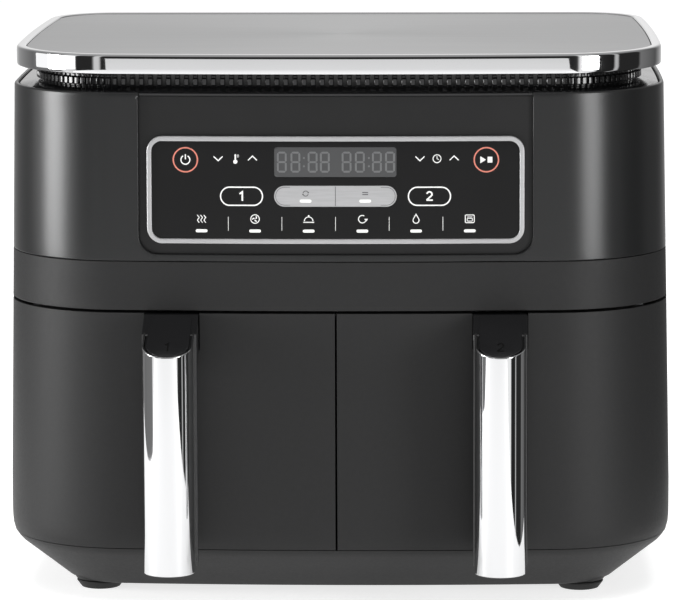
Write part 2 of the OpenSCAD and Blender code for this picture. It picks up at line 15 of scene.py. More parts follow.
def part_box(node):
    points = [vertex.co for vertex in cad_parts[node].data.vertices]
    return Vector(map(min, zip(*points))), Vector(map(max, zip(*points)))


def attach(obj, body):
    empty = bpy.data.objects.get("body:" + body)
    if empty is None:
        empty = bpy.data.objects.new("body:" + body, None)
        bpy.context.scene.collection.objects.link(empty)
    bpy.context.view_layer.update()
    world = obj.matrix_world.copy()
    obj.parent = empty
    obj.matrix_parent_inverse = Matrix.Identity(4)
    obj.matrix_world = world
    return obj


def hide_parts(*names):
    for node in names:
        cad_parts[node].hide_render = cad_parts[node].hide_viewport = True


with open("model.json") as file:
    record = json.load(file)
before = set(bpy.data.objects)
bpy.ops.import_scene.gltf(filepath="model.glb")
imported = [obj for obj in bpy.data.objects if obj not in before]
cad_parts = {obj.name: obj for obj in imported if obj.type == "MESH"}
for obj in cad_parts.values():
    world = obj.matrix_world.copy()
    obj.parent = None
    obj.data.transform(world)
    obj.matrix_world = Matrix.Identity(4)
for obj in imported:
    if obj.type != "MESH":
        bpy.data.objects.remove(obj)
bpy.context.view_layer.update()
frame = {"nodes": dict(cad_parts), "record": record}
scene = bpy.context.scene
link = scene.collection.objects.link
MM = 0.001


def cad(node):
    """Lowest and highest corner of a CAD node, in millimetres."""
    low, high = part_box(node)
    return np.array(low) / MM, np.array(high) / MM


# ------------ sizes read off the frame
HOUSE_LOW, HOUSE_HIGH = cad("main_housing")
SHELL_LOW, SHELL_HIGH = cad("upper_shell")
DRAWER_LOW, DRAWER_HIGH = cad("drawer_front_right")
TRIM_LOW, TRIM_HIGH = cad("lid_trim")
CLAD_LOW, CLAD_HIGH = cad("handle_cladding_right")
CORE_LOW, CORE_HIGH = cad("handle_core_right")
FRAME_LOW, FRAME_HIGH = cad("control_frame")
REAR_LOW, REAR_HIGH = cad("rear_vent_cover")
BASKET_LOW, BASKET_HIGH = cad("basket_right")
PLATE_LOW, PLATE_HIGH = cad("crisper_plate_right")

HALF_W = HOUSE_HIGH[0]
BACK_Y = HOUSE_HIGH[1]
FRONT_Y = -124.0
# radii in plan: the bowed front, the front corners, the bowed sides and the back corners
BOW_R, FRONT_R, SIDE_R, BACK_R = 1800.0, 72.0, 2300.0, 45.0
ZONE_X = (PLATE_LOW[0] + PLATE_HIGH[0]) / 2
HANDLE_X = (CLAD_LOW[0] + CLAD_HIGH[0]) / 2
SKIN_T = 2.8
# the walls lean in by LEAN_IN between the height LEAN_FROM and the shell's top
LEAN_FROM, LEAN_IN = 65, 4.5
# how far the skin stands in from the widest outline: heights, insets
PROFILE = ([8, 31, 32.6, 33.9, 38, 42, 46, LEAN_FROM, 303, 325],
           [34.3, 3.2, 1.9, 1.6, 0.5, 0.12, 0, 0, LEAN_IN, LEAN_IN])


# ------------ the body's outer skin
BOW_HALF = asin((HALF_W - FRONT_R) / (BOW_R - FRONT_R))
BOW_CY = FRONT_Y + BOW_R
CORNER_CY = BOW_CY - (BOW_R - FRONT_R) * cos(BOW_HALF)
REAR_CY = BACK_Y - BACK_R
SIDE_HALF = asin((REAR_CY - CORNER_CY) / (SIDE_R - BACK_R))
REAR_CX = HALF_W - SIDE_R + (SIDE_R - BACK_R) * cos(SIDE_HALF)
L1 = BOW_R * BOW_HALF
L2 = L1 + FRONT_R * (pi / 2 - BOW_HALF)
L3 = L2 + SIDE_R * SIDE_HALF
L4 = L3 + BACK_R * (pi / 2 - SIDE_HALF)
HALF_LOOP = L4 + REAR_CX


def plan(s):
    """Points and outward normals on the body's plan outline, s along it from the front's middle."""
    s = np.asarray(s, float)
    side, a = np.where(s < 0, -1.0, 1.0), np.abs(s)
    parts = [a < L1, a < L2, a < L3, a < L4]
    turn = np.select(parts, [a / BOW_R, BOW_HALF + (a - L1) / FRONT_R, pi / 2 + (a - L2) / SIDE_R,
                             pi / 2 + SIDE_HALF + (a - L3) / BACK_R], pi)
    nx, ny = np.sin(turn), -np.cos(turn)
    x = np.select(parts, [BOW_R * nx, HALF_W - FRONT_R + FRONT_R * nx, HALF_W - SIDE_R + SIDE_R * nx,
                          REAR_CX + BACK_R * nx], HALF_LOOP - a)
    y = np.select(parts, [BOW_CY + BOW_R * ny, CORNER_CY + FRONT_R * ny, CORNER_CY + SIDE_R * ny,
                          REAR_CY + BACK_R * ny], BACK_Y)
    return np.stack([side * x, y], -1), np.stack([side * nx, ny], -1)


def inset(z):
    return np.interp(z, *PROFILE)


def skin(s, z, d=0.0):
    """Point on the body's skin at s and height z, d under the surface."""
    p, n = plan(s)
    q = p - n * (inset(z) + np.asarray(d, float))[..., None]
    return np.concatenate([q, np.broadcast_to(np.asarray(z, float), q.shape[:-1])[..., None]], -1)


def s_at_x(x, z):
    return BOW_R * asin(x / (BOW_R - float(inset(z))))


def loop_at(z, off, count=420):
    """Closed ring of points round the body at height z, drawn in by off from the widest outline."""
    s = np.linspace(-HALF_LOOP, HALF_LOOP, count, endpoint=False)
    p, n = plan(s)
    q = p - n * off
    return np.column_stack([q, np.full(count, z)])


# ------------ the control panel's leaning, bowed plane
PANEL_Z = (FRAME_LOW[2] + FRAME_HIGH[2]) / 2
LEAN = atan(LEAN_IN / (SHELL_HIGH[2] - LEAN_FROM))
PANEL_INSET = LEAN_IN * (PANEL_Z - LEAN_FROM) / (SHELL_HIGH[2] - LEAN_FROM)
PANEL_R = BOW_R - PANEL_INSET


def panel(u, v, d):
    """Point d deep behind the bowed front, u across and v up from the control frame's middle."""
    y = PANEL_R - np.sqrt((PANEL_R - np.asarray(d, float)) ** 2 - np.asarray(u, float) ** 2)
    return np.stack([u + 0 * y, FRONT_Y + PANEL_INSET + y * cos(LEAN) + v * sin(LEAN),
                     PANEL_Z - y * sin(LEAN) + v * cos(LEAN)], -1)


# ------------ 2-D outlines
def arc(cx, cy, r, a0, a1, steps):
    t = np.radians(np.linspace(a0, a1, steps + 1))
    return np.column_stack([cx + r * np.cos(t), cy + r * np.sin(t)])


def rounded(x0, y0, x1, y1, r, steps=8):
    return np.vstack([arc(x1 - r, y0 + r, r, -90, 0, steps), arc(x1 - r, y1 - r, r, 0, 90, steps),
                      arc(x0 + r, y1 - r, r, 90, 180, steps), arc(x0 + r, y0 + r, r, 180, 270, steps)])


def circle(cx, cy, r, steps=32):
    return arc(cx, cy, r, 0, 360, steps)[:-1]


def dense(points, step, closed=True):
    """The outline with points added so that no side is longer than step."""
    points = np.asarray(points, float)
    ends = np.roll(points, -1, 0) if closed else points[1:]
    out = []
    for a, b in zip(points, ends):
        length = float(np.hypot(*(b - a)))
        if length < 1e-6:
            continue
        n = max(1, ceil(length / step))
        out += [a + (b - a) * k / n for k in range(n)]
    if not closed:
        out.append(points[-1])
    return np.array(out)


def shrink(points, d):
    """Closed outline moved to its left by d: inwards for an anticlockwise one."""
    p = np.asarray(points, float)
    e = np.roll(p, -1, 0) - p
    e /= np.linalg.norm(e, axis=1)[:, None]
    n = np.column_stack([-e[:, 1], e[:, 0]])
    m = n + np.roll(n, 1, 0)
    return p + m * (2 * d / np.maximum((m ** 2).sum(1), 1.0))[:, None]


def stroke(points, width, closed=False):
    """Outline of a line of that width through the points. A closed line gives its outer and inner outline."""
    p = np.asarray(points, float)
    if closed:
        return [shrink(p, -width / 2), shrink(p, width / 2)]
    e = np.diff(p, axis=0)
    e /= np.linalg.norm(e, axis=1)[:, None]
    n = np.column_stack([-e[:, 1], e[:, 0]])
    m = np.vstack([n[:1], n[:-1] + n[1:], n[-1:]])
    m *= (width / np.maximum((m ** 2).sum(1), 0.5))[:, None] * np.where(
        np.arange(len(p))[:, None] % (len(p) - 1) == 0, 0.5, 1.0)
    return [np.vstack([p - m, (p + m)[::-1]])]


def inside(points, loops):
    """Which points are inside the first outline and outside the holes, by crossings."""
    x, y = points[:, 0][:, None], points[:, 1][:, None]
    hits = np.zeros(len(points), int)
    for loop in loops:
        a, b = np.asarray(loop), np.roll(loop, -1, 0)
        dy = np.where(b[:, 1] == a[:, 1], 1e-12, b[:, 1] - a[:, 1])
        with np.errstate(all="ignore"):
            cross = ((a[:, 1] > y) != (b[:, 1] > y)) & (x < a[:, 0] + (y - a[:, 1]) / dy * (b[:, 0] - a[:, 0]))
        hits += cross.sum(1)
    return hits % 2 == 1


def near(points, loops, gap):
    """Which points lie within gap of an outline."""
    close = np.zeros(len(points), bool)
    for loop in loops:
        a, b = np.asarray(loop, float), np.roll(loop, -1, 0)
        for k in range(0, len(a), 100):
            p, q = a[None, k:k + 100], b[None, k:k + 100] - a[None, k:k + 100]
            t = ((points[:, None] - p) * q).sum(-1) / np.maximum((q ** 2).sum(-1), 1e-12)
            d = points[:, None] - p - np.clip(t, 0, 1)[..., None] * q
            close |= (d ** 2).sum(-1).min(1) < gap ** 2
    return close


def fill(loops, us=None, vs=None, gap=1.0):
    """Triangles over the area between the outlines, with extra points on the grid us x vs."""
    pts = [np.asarray(p, float) for p in loops]
    edges, start = [], 0
    for p in pts:
        edges += [(start + k, start + (k + 1) % len(p)) for k in range(len(p))]
        start += len(p)
    flat = np.vstack(pts)
    if us is not None:
        grid = np.array([(u, v) for u in us for v in vs], float)
        grid = grid[inside(grid, pts)]
        grid = grid[~near(grid, pts, gap)]
        flat = np.vstack([flat, grid])
    done = delaunay_2d_cdt([Vector(p) for p in flat], edges, [], 1, 1e-6)
    verts = np.array([tuple(v) for v in done[0]])
    index = {}
    for new, olds in enumerate(done[3]):
        for old in olds:
            index[old] = new
    tris = np.array([f for f in done[2]], int)
    tris = tris[inside(verts[tris].mean(1), pts)]
    rims, start = [], 0
    for p in pts:
        rims.append([index[start + k] for k in range(len(p))])
        start += len(p)
    return verts, tris, rims


# ------------ solids, as (points, faces)
def plate(loops, place, d0, d1, us=None, vs=None, gap=1.0, seam=None):
    """Closed plate over the outlines between the depths d0 and d1, which may be functions of (u, v).
    seam(u) is true on an edge that will be welded to another, and gets no wall."""
    verts, tris, rims = fill(loops, us, vs, gap)
    u, v = verts[:, 0], verts[:, 1]
    depth = [d(u, v) if callable(d) else np.full(len(verts), float(d)) for d in (d0, d1)]
    n = len(verts)
    points = np.vstack([place(u, v, depth[0]), place(u, v, depth[1])])
    faces = [tuple(t) for t in tris] + [tuple(t[::-1] + n) for t in tris]
    for rim in rims:
        for a, b in zip(rim, rim[1:] + rim[:1]):
            if seam is None or not (seam(u[a]) and seam(u[b]) and u[a] * u[b] > 0):
                faces.append((a, b, b + n, a + n))
    return points, faces


def tub(outline, place, thick, lip, back, us, vs, gap=1.5):
    """Hollow front: a skin thick deep, with a wall lip wide round its edge that runs back to depth back(u, v)."""
    outer, inner = np.asarray(outline), shrink(outline, lip)
    va, ta, ra = fill([outer], us, vs, gap)
    vb, tb, rb = fill([inner], us, vs, gap)
    pa, pb = place(va[:, 0], va[:, 1], np.zeros(len(va))), place(vb[:, 0], vb[:, 1], np.full(len(vb), thick))
    deep = np.maximum(back(outer[:, 0], outer[:, 1]), thick + 0.4)
    pc, pd = place(outer[:, 0], outer[:, 1], deep), place(inner[:, 0], inner[:, 1], deep)
    points = np.vstack([pa, pb, pc, pd])
    nb, nc = len(pa), len(pa) + len(pb)
    nd = nc + len(pc)
    faces = [tuple(t) for t in ta] + [tuple(t[::-1] + nb) for t in tb]
    m = len(outer)
    for k in range(m):
        j = (k + 1) % m
        faces += [(ra[0][k], ra[0][j], nc + j, nc + k), (nc + k, nc + j, nd + j, nd + k),
                  (nd + k, nd + j, rb[0][j] + nb, rb[0][k] + nb)]
    return points, faces


def loft(rings, closed=False, caps=True):
    """Solid through rings of equal length, joined end to end if closed."""
    n, m = len(rings[0]), len(rings)
    points = np.vstack(rings)
    faces = [(j * n + k, j * n + (k + 1) % n, ((j + 1) % m) * n + (k + 1) % n, ((j + 1) % m) * n + k)
             for j in range(m if closed else m - 1) for k in range(n)]
    if not closed and caps:
        faces += [tuple(range(n))[::-1], tuple(range((m - 1) * n, m * n))]
    return points, faces


def round_body(profile, count=420):
    """Closed ring all round the body from a closed profile of (height, inset)."""
    return loft([loop_at(z, off, count) for z, off in profile], closed=True)


def lathe(profile, origin, axis="z", steps=48, closed=False):
    """Turned solid from (radius, height) points, along z or y."""
    t = np.linspace(0, 2 * pi, steps, endpoint=False)
    rings = []
    for r, h in profile:
        x, y, z = r * np.cos(t), r * np.sin(t), np.full(steps, float(h))
        if axis == "y":
            x, y, z = x, z, -y
        if axis == "x":
            x, y, z = z, x, y
        rings.append(np.column_stack([x, y, z]) + np.asarray(origin, float))
    return loft(rings, closed)


def block(low, high, r=0.0, steps=3):
    """Box with its four upright edges rounded."""
    out = rounded(low[0], low[1], high[0], high[1], max(r, 0.01), steps if r else 1)
    return loft([np.column_stack([out, np.full(len(out), z)]) for z in (low[2], high[2])])


def moved(part, matrix):
    points, faces = part
    m = np.array(matrix)
    return points @ m[:3, :3].T + m[:3, 3], faces


def mirrored(part):
    points, faces = part
    return points * np.array([-1, 1, 1]), [tuple(f[::-1]) for f in faces]


# flat places for plates: (u, v, d) to a point
def facing(y):
    return lambda u, v, d: np.stack([u + 0 * d, y + d, v + 0 * d], -1)


def rearward(y):
    return lambda u, v, d: np.stack([u + 0 * d, y - d, v + 0 * d], -1)


def level(z):
    return lambda u, v, d: np.stack([u + 0 * d, v + 0 * d, z - d], -1)


def sideways(x):
    return lambda u, v, d: np.stack([x + d, u + 0 * d, v + 0 * d], -1)


# ------------ pieces
def piece(name, parts, body, slot, nodes=(), bevel=0.0, segments=3, rule=None, sharp=38, mat=None):
    """Object from closed parts, its sharp edges rounded by bevel mm or by what rule(middle of edge) gives."""
    bm = bmesh.new()
    for points, faces in parts:
        vs = [bm.verts.new(p) for p in np.asarray(points) * MM]
        for f in faces:
            if len(set(f)) > 2:
                try:
                    bm.faces.new([vs[k] for k in dict.fromkeys(f)])
                except ValueError:
                    pass
    bmesh.ops.remove_doubles(bm, verts=bm.verts, dist=2e-6)
    bmesh.ops.dissolve_degenerate(bm, edges=bm.edges, dist=1e-6)
    bmesh.ops.recalc_face_normals(bm, faces=bm.faces)
    if bevel or rule:
        groups = {}
        for e in bm.edges:
            if len(e.link_faces) == 2 and e.calc_face_angle(0) > radians(sharp):
                w = rule((e.verts[0].co + e.verts[1].co) / 2 / MM) if rule else bevel
                if w:
                    groups.setdefault(w, []).append(e)
        for w in sorted(groups, reverse=True):
            edges = [e for e in groups[w] if e.is_valid]
            bmesh.ops.bevel(bm, geom=edges, offset=w * MM, offset_type="OFFSET", segments=segments, profile=0.5,
                            affect="EDGES", clamp_overlap=True)
        bmesh.ops.remove_doubles(bm, verts=bm.verts, dist=1e-6)
        bmesh.ops.dissolve_degenerate(bm, edges=bm.edges, dist=1e-6)
    mesh = bpy.data.meshes.new(name + "_look")
    bm.to_mesh(mesh)
    bm.free()
    mesh.shade_smooth()
    mesh.set_sharp_from_angle(angle=radians(sharp))
    o = bpy.data.objects.new(name + "_look", mesh)
    link(o)
    mesh.materials.append(mat or MATERIALS[slot])
    weighted = o.modifiers.new("face weighted normals", "WEIGHTED_NORMAL")
    weighted.keep_sharp = True
    weighted.weight = 60
    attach(o, body)
    if nodes:
        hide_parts(*nodes)
    return o


def pair(name, parts, body, slot, nodes=(), **more):
    """The right-hand piece and its mirror image. Body and node names take a {side}."""
    out = []
    for side, half in (("right", parts), ("left", [mirrored(p) for p in parts])):
        out.append(piece(f"{name}_{side}", half, body.format(side=side), slot,
                         [n.format(side=side) for n in nodes], **more))
    return out


# ------------ materials
NOISE_SPAN = (0.3, 0.7)


def shader(name, colour, rough, metal=0.0, spec=0.5, tone=None, wear=None, grain=(), aniso=0.0):
    """Procedural material. tone, wear: (scale, amount) of the noise in the colour and in the roughness.
    grain: (scale or scale per axis, strength, distance in mm) for each layer of bump. Scales are per metre."""
    m = bpy.data.materials.new(name)
    m.use_nodes = True
    nodes, links = m.node_tree.nodes, m.node_tree.links
    b = nodes["Principled BSDF"]
    for socket, value in (("Base Color", (*colour, 1)), ("Roughness", rough), ("Metallic", metal),
                          ("Specular IOR Level", spec), ("Anisotropic", aniso)):
        b.inputs[socket].default_value = value
    where = nodes.new("ShaderNodeTexCoord").outputs["Object"]

    def noise(scale, detail):
        source = where
        if isinstance(scale, tuple):
            stretch = nodes.new("ShaderNodeMapping")
            stretch.inputs["Scale"].default_value = scale
            links.new(where, stretch.inputs["Vector"])
            source, scale = stretch.outputs["Vector"], 1.0
        n = nodes.new("ShaderNodeTexNoise")
        n.inputs["Scale"].default_value = scale
        n.inputs["Detail"].default_value = detail
        links.new(source, n.inputs["Vector"])
        return n.outputs["Fac"]

    if tone:
        ramp = nodes.new("ShaderNodeValToRGB")
        for end, position, change in zip(ramp.color_ramp.elements, NOISE_SPAN, (1 - tone[1], 1 + tone[1])):
            end.position, end.color = position, (*[min(1, c * change) for c in colour], 1)
        links.new(noise(tone[0], 3), ramp.inputs["Fac"])
        links.new(ramp.outputs["Color"], b.inputs["Base Color"])
    if wear:
        span = nodes.new("ShaderNodeMapRange")
        limits = (*NOISE_SPAN, max(0.0, rough - wear[1]), min(1.0, rough + wear[1]))
        for socket, value in zip(("From Min", "From Max", "To Min", "To Max"), limits):
            span.inputs[socket].default_value = value
        links.new(noise(wear[0], 4), span.inputs["Value"])
        links.new(span.outputs["Result"], b.inputs["Roughness"])
    before = None
    for scale, strength, distance in grain:
        bump = nodes.new("ShaderNodeBump")
        bump.inputs["Strength"].default_value = strength
        bump.inputs["Distance"].default_value = distance * MM
        links.new(noise(scale, 2), bump.inputs["Height"])
        if before:
            links.new(before, bump.inputs["Normal"])
        before = bump.outputs["Normal"]
    if before:
        links.new(before, b.inputs["Normal"])
    return m


# name, colour, roughness, metal, specular level, tone, wear, grain, and anisotropy if any, by material slot
LOOKS = {
    "satin_metal": ("satin lacquer", (0.0165, 0.0168, 0.0171), 0.29, 0.3, 0.42, (900, 0.06),
        (700, 0.012), [(2600, 0.10, 0.02)]),
    "matte_black": ("fine matt moulding", (0.0162, 0.0162, 0.0164), 0.52, 0, 0.22, (400, 0.05),
        (600, 0.04), [(1900, 0.16, 0.03), (5200, 0.1, 0.01)]),
    "gloss_black": ("polished black", (0.008, 0.008, 0.0085), 0.13, 0, 0.5, (30, 0.1),
        (45, 0.035), [(120, 0.02, 0.05)]),
    "panel_glass": ("printed touch panel", (0.0055, 0.0055, 0.0057), 0.2, 0, 0.19, (60, 0.06),
        (30, 0.03), [(2400, 0.03, 0.01)]),
    "display_grey": ("smoked window", (0.046, 0.047, 0.0485), 0.16, 0, 0.5, (80, 0.05),
        (40, 0.03), [(300, 0.02, 0.02)]),
    "silver_print": ("brushed silver inlay", (0.43, 0.43, 0.437), 0.38, 0.5, 0.5, ((60, 900, 900), 0.06),
        (120, 0.05), [((90, 3800, 3800), 0.1, 0.01)]),
    "satin_aluminium": ("satin aluminium", (0.44, 0.44, 0.445), 0.42, 0.6, 0.5, ((80, 80, 1500), 0.04),
        (60, 0.04), [((40, 40, 2600), 0.03, 0.004)]),
    "lamp_white": ("diffusing white", (0.86, 0.86, 0.84), 0.45, 0, 0.5, (300, 0.02),
        (200, 0.05), [(1500, 0.04, 0.01)]),
    "chrome": ("mirror chrome", (0.61, 0.612, 0.618), 0.04, 1.0, 0.5, (9, 0.015), (30, 0.02), [(14, 0.015, 0.4)]),
    "brushed_lid": ("brushed steel", (0.48, 0.48, 0.483), 0.4, 1.0, 0.5, ((6, 1400, 50), 0.05),
        ((10, 500, 50), 0.015), [((14, 2400, 60), 0.14, 0.015)], 0.3),
    "rubber": ("rubber", (0.014, 0.014, 0.014), 0.72, 0, 0.35, (120, 0.15), (90, 0.06), [(1500, 0.25, 0.04)]),
    "zinc_steel": ("zinc plated sheet", (0.5, 0.51, 0.52), 0.4, 1.0, 0.5, (60, 0.09),
        (45, 0.09), [((200, 200, 1600), 0.08, 0.02)]),
    "screw_steel": ("machined steel", (0.36, 0.37, 0.38), 0.32, 1.0, 0.5, (220, 0.1),
        (160, 0.08), [((1500, 1500, 300), 0.1, 0.02)]),
    "element_steel": ("heat tinted tube", (0.26, 0.22, 0.2), 0.45, 1.0, 0.5, (70, 0.25),
        (60, 0.1), [(900, 0.1, 0.03)]),
    "bare_aluminium": ("pressed aluminium", (0.68, 0.69, 0.7), 0.38, 1.0, 0.5, (60, 0.05),
        (80, 0.07), [(700, 0.06, 0.03)]),
    "motor_steel": ("dark plated steel", (0.15, 0.155, 0.165), 0.42, 0.8, 0.5, (90, 0.12),
        (70, 0.07), [((60, 60, 1800), 0.18, 0.05)]),
    "non_stick": ("non-stick coating", (0.04, 0.04, 0.042), 0.36, 0.2, 0.5, (500, 0.2),
        (60, 0.06), [(1300, 0.16, 0.05), (4200, 0.1, 0.02)]),
    "silicone": ("silicone", (0.02, 0.02, 0.021), 0.6, 0, 0.4, (150, 0.12), (90, 0.05), [(900, 0.12, 0.03)]),
    "board_green": ("solder resist", (0.016, 0.085, 0.032), 0.3, 0, 0.5, ((700, 90, 700), 0.4),
        (200, 0.08), [((900, 60, 900), 0.12, 0.02)]),
    "white_plastic": ("white moulding", (0.74, 0.74, 0.71), 0.42, 0, 0.5, (50, 0.03),
        (60, 0.05), [(1500, 0.06, 0.02)]),
    "cream_plastic": ("cream moulding", (0.6, 0.56, 0.45), 0.45, 0, 0.5, (80, 0.05),
        (60, 0.05), [(1500, 0.08, 0.02)]),
    "red_plastic": ("red moulding", (0.45, 0.03, 0.02), 0.4, 0, 0.5, (200, 0.08),
        (150, 0.05), [(1500, 0.06, 0.02)]),
}
MATERIALS = {slot: shader(*look) for slot, look in LOOKS.items()}
PRINT_WHITE, PRINT_CORAL, PRINT_GREY, PRINT_DARK, ENGRAVED = [shader(*look) for look in (
    ("white print", (0.8, 0.8, 0.79), 0.5, 0, 0.5, (900, 0.04), (500, 0.06), [(2500, 0.05, 0.01)]),
    ("coral print", (0.6, 0.19, 0.14), 0.5, 0, 0.5, (900, 0.08), (500, 0.06), [(2500, 0.05, 0.01)]),
    ("ghost segments", (0.12, 0.122, 0.125), 0.35, 0, 0.5, (700, 0.05), (500, 0.05), [(2500, 0.03, 0.01)]),
    ("dark print", (0.05, 0.05, 0.052), 0.5, 0, 0.5, (900, 0.06), (500, 0.05), [(2500, 0.05, 0.01)]),
    ("engraved numeral", (0.003, 0.003, 0.003), 0.8, 0, 0.1, (900, 0.08), (500, 0.05), [(2500, 0.1, 0.01)]))]

slot_of = {row["node"]: row["material_slot"] for row in frame["record"]["subparts"]}
for node, o in frame["nodes"].items():
    if o.data.materials:
        for k in range(len(o.data.materials)):
            o.data.materials[k] = MATERIALS[slot_of[node]]
    else:
        o.data.materials.append(MATERIALS[slot_of[node]])


# ------------ housing
S_GRID = np.arange(-HALF_LOOP + 4, HALF_LOOP - 3, 4.0)
at_seam = lambda u: abs(abs(u) - HALF_LOOP) < 1e-3

# upper shell, with the recess for the controls open to the top
low, high = SHELL_LOW[2], SHELL_HIGH[2]
recess_w, recess_low, recess_r = 114.8, PANEL_Z - 37.9, 11.0
sw = s_at_x(recess_w, recess_low + 20)
notch = np.vstack([[(sw, high)], arc(sw - recess_r, recess_low + recess_r, recess_r, 0, -90, 10),
                   arc(-sw + recess_r, recess_low + recess_r, recess_r, -90, -180, 10), [(-sw, high)]])
shell_outline = dense(np.vstack([[(-HALF_LOOP, high), (-HALF_LOOP, low), (HALF_LOOP, low), (HALF_LOOP, high)],
                                 notch]), 4.0)


def shell_rule(mid):
    if mid[2] > high - 0.5 and abs(mid[0]) > recess_w + 1 or mid[2] > high - 0.5 and mid[1] > 0:
        return 1.1
    return 0.5


piece("upper_shell", [plate([shell_outline], skin, 0.0, SKIN_T, S_GRID, np.arange(low + 7, high - 3, 11.0),
                            gap=1.6, seam=at_seam)],
      "housing", "satin_metal", ["upper_shell"], rule=shell_rule)

# housing: the band over the drawers and the walls round the sides and back
opening_top = DRAWER_HIGH[2] + 1.6
s_open = L2 + (DRAWER_HIGH[1] + 1.2 - CORNER_CY)
low, high = HOUSE_LOW[2], HOUSE_HIGH[2]
mouth = np.vstack([[(s_open, low)], arc(s_open - 6, opening_top - 6, 6, 0, 90, 8),
                   arc(-s_open + 6, opening_top - 6, 6, 90, 180, 8), [(-s_open, low)]])
house_outline = dense(np.vstack([[(-HALF_LOOP, high), (-HALF_LOOP, low)], mouth[::-1],
                                 [(HALF_LOOP, low), (HALF_LOOP, high)]]), 4.0)
HOUSE_ROWS = np.array([36, 38, 40, 42, 44, 47, 52, 60, 72, 88, 104, 120, 136, 152, 168, 180, 192])
piece("main_housing", [plate([house_outline], skin, 0.0, SKIN_T, S_GRID, HOUSE_ROWS, gap=1.6,
                             seam=at_seam)],
      "housing", "matte_black", ["main_housing"], bevel=0.6)

brow = [p for p in loop_at(0, float(inset(190)) + 2.2, 840)[:, :2] if p[1] < -83]
brow = np.array(sorted(brow, key=lambda p: p[0]))
piece("brow_floor", [plate([brow], level(opening_top + 2.4), 0.0, 2.2)], "housing", "matte_black", bevel=0.3)

# base tray: skirt, floor with cooling slots, and the bulges over the feet
skirt = [(11, 38.2), (5.5, 38.2), (5.5, 36.9), (5.8, 35.3), (6.8, 33.4), (14.2, 24.2), (22.6, 13.6), (28.9, 5.6),
         (31.1, 3.6), (32.2, 2.8), (33.4, 2.2), (33.4, 4.6), (30, 7.8), (11.1, 37.4)]
slots = [rounded(35 + 9 * k, 5, 39 + 9 * k, 60, 1.9, 5) for k in range(7)]
slots += [shrink(s, 0) * [-1, 1] for s in slots]
tray_floor = loop_at(0, 38.0, 240)[:, :2]
FOOT = cad("rubber_feet")
foot_x, foot_front, foot_back = FOOT[1][0] - 14.4, FOOT[0][1] + 14.4, FOOT[1][1] - 14.4
bulge = [(0, 5.2), (13.6, 5.2), (14.5, 5.5), (15.0, 6.2), (18.4, 11.5), (19.6, 13.6), (21.5, 16),
         (21.5, 20), (0, 20)]
foot_spots = [(sx * foot_x, y) for sx in (-1, 1) for y in (foot_front, foot_back)]
piece("base_tray", [round_body(skirt), plate([tray_floor] + slots, level(10.9), 0.0, 2.8)]
      + [lathe(bulge, (x, y, 0)) for x, y in foot_spots],
      "housing", "matte_black", ["base_tray"], bevel=0.25, segments=2)
pad = [(0, 4.95), (13.2, 4.95), (14.0, 4.6), (14.3, 4.0), (11.9, 0.7), (11.5, 0.2), (10.8, 0), (6.2, 0),
       (5.6, 0.6), (0, 0.6)]
for k, (x, y) in enumerate(foot_spots):
    piece(f"rubber_foot_{k + 1}", [lathe(pad, (x, y, 0))], "housing", "rubber", ["rubber_feet"])

# ------------ neck and lid
collar_low, neck_top = cad("vent_collar")[0][2], cad("vent_collar")[1][2]
deck = [(collar_low, 23), (collar_low, 7.8), (302.2, 7.8), (302.6, 8.4), (303.4, 13.0), (304.4, 19.0),
        (305.0, 20.2), (305.8, 20.6), (neck_top, 20.6), (neck_top, 23)]
RIB_PITCH = 5.35
fins = []
count = round(2 * HALF_LOOP / RIB_PITCH)
for k in range(count):
    p, n = plan(-HALF_LOOP + 2 * HALF_LOOP * (k + 0.5) / count)
    t = np.array([-n[1], n[0]])
    rings = []
    for z, out in ((304.6, 19.8), (305.6, 19.6), (306.0, 18.1), (306.3, 17.75), (309.6, 17.75), (310.0, 18.1),
                   (310.4, 19.6), (neck_top - 0.05, 20.2)):
        section = [(-1.45, 20.9), (-1.45, out + 0.5), (-1.1, out + 0.1), (0, out), (1.1, out + 0.1),
                   (1.45, out + 0.5), (1.45, 20.9)]
        rings.append(np.column_stack([np.array([p - n * off + t * w for w, off in section]), np.full(7, z)]))
    fins.append(loft(rings))
piece("vent_collar", [round_body(deck)] + fins, "housing", "gloss_black", ["vent_collar"])

top, base = TRIM_HIGH[2], TRIM_LOW[2]
trim = [(base, 7.0), (base + 0.3, 6.35), (base + 1.0, 6.05), (base + 3, 6.0), (top - 2.6, 6.0), (top - 1.5, 6.06),
        (top - 0.75, 6.3), (top - 0.25, 6.8), (top - 0.02, 7.5), (top, 8.4), (top, 10.6), (top - 0.12, 11.2),
        (top - 0.45, 11.7), (top - 0.9, 11.95), (top - 1.6, 12.0), (base, 12.0)]
piece("lid_trim", [round_body(trim, 520)], "housing", "chrome", ["lid_trim"])
lid = [loop_at(z, off, 520) for z, off in (
    (top - 1.9, 12.25), (top - 1.0, 12.25), (top - 0.78, 12.4), (top - 0.7, 12.9))]
piece("lid_plate", [loft(lid)], "housing", "brushed_lid", ["lid_plate"])

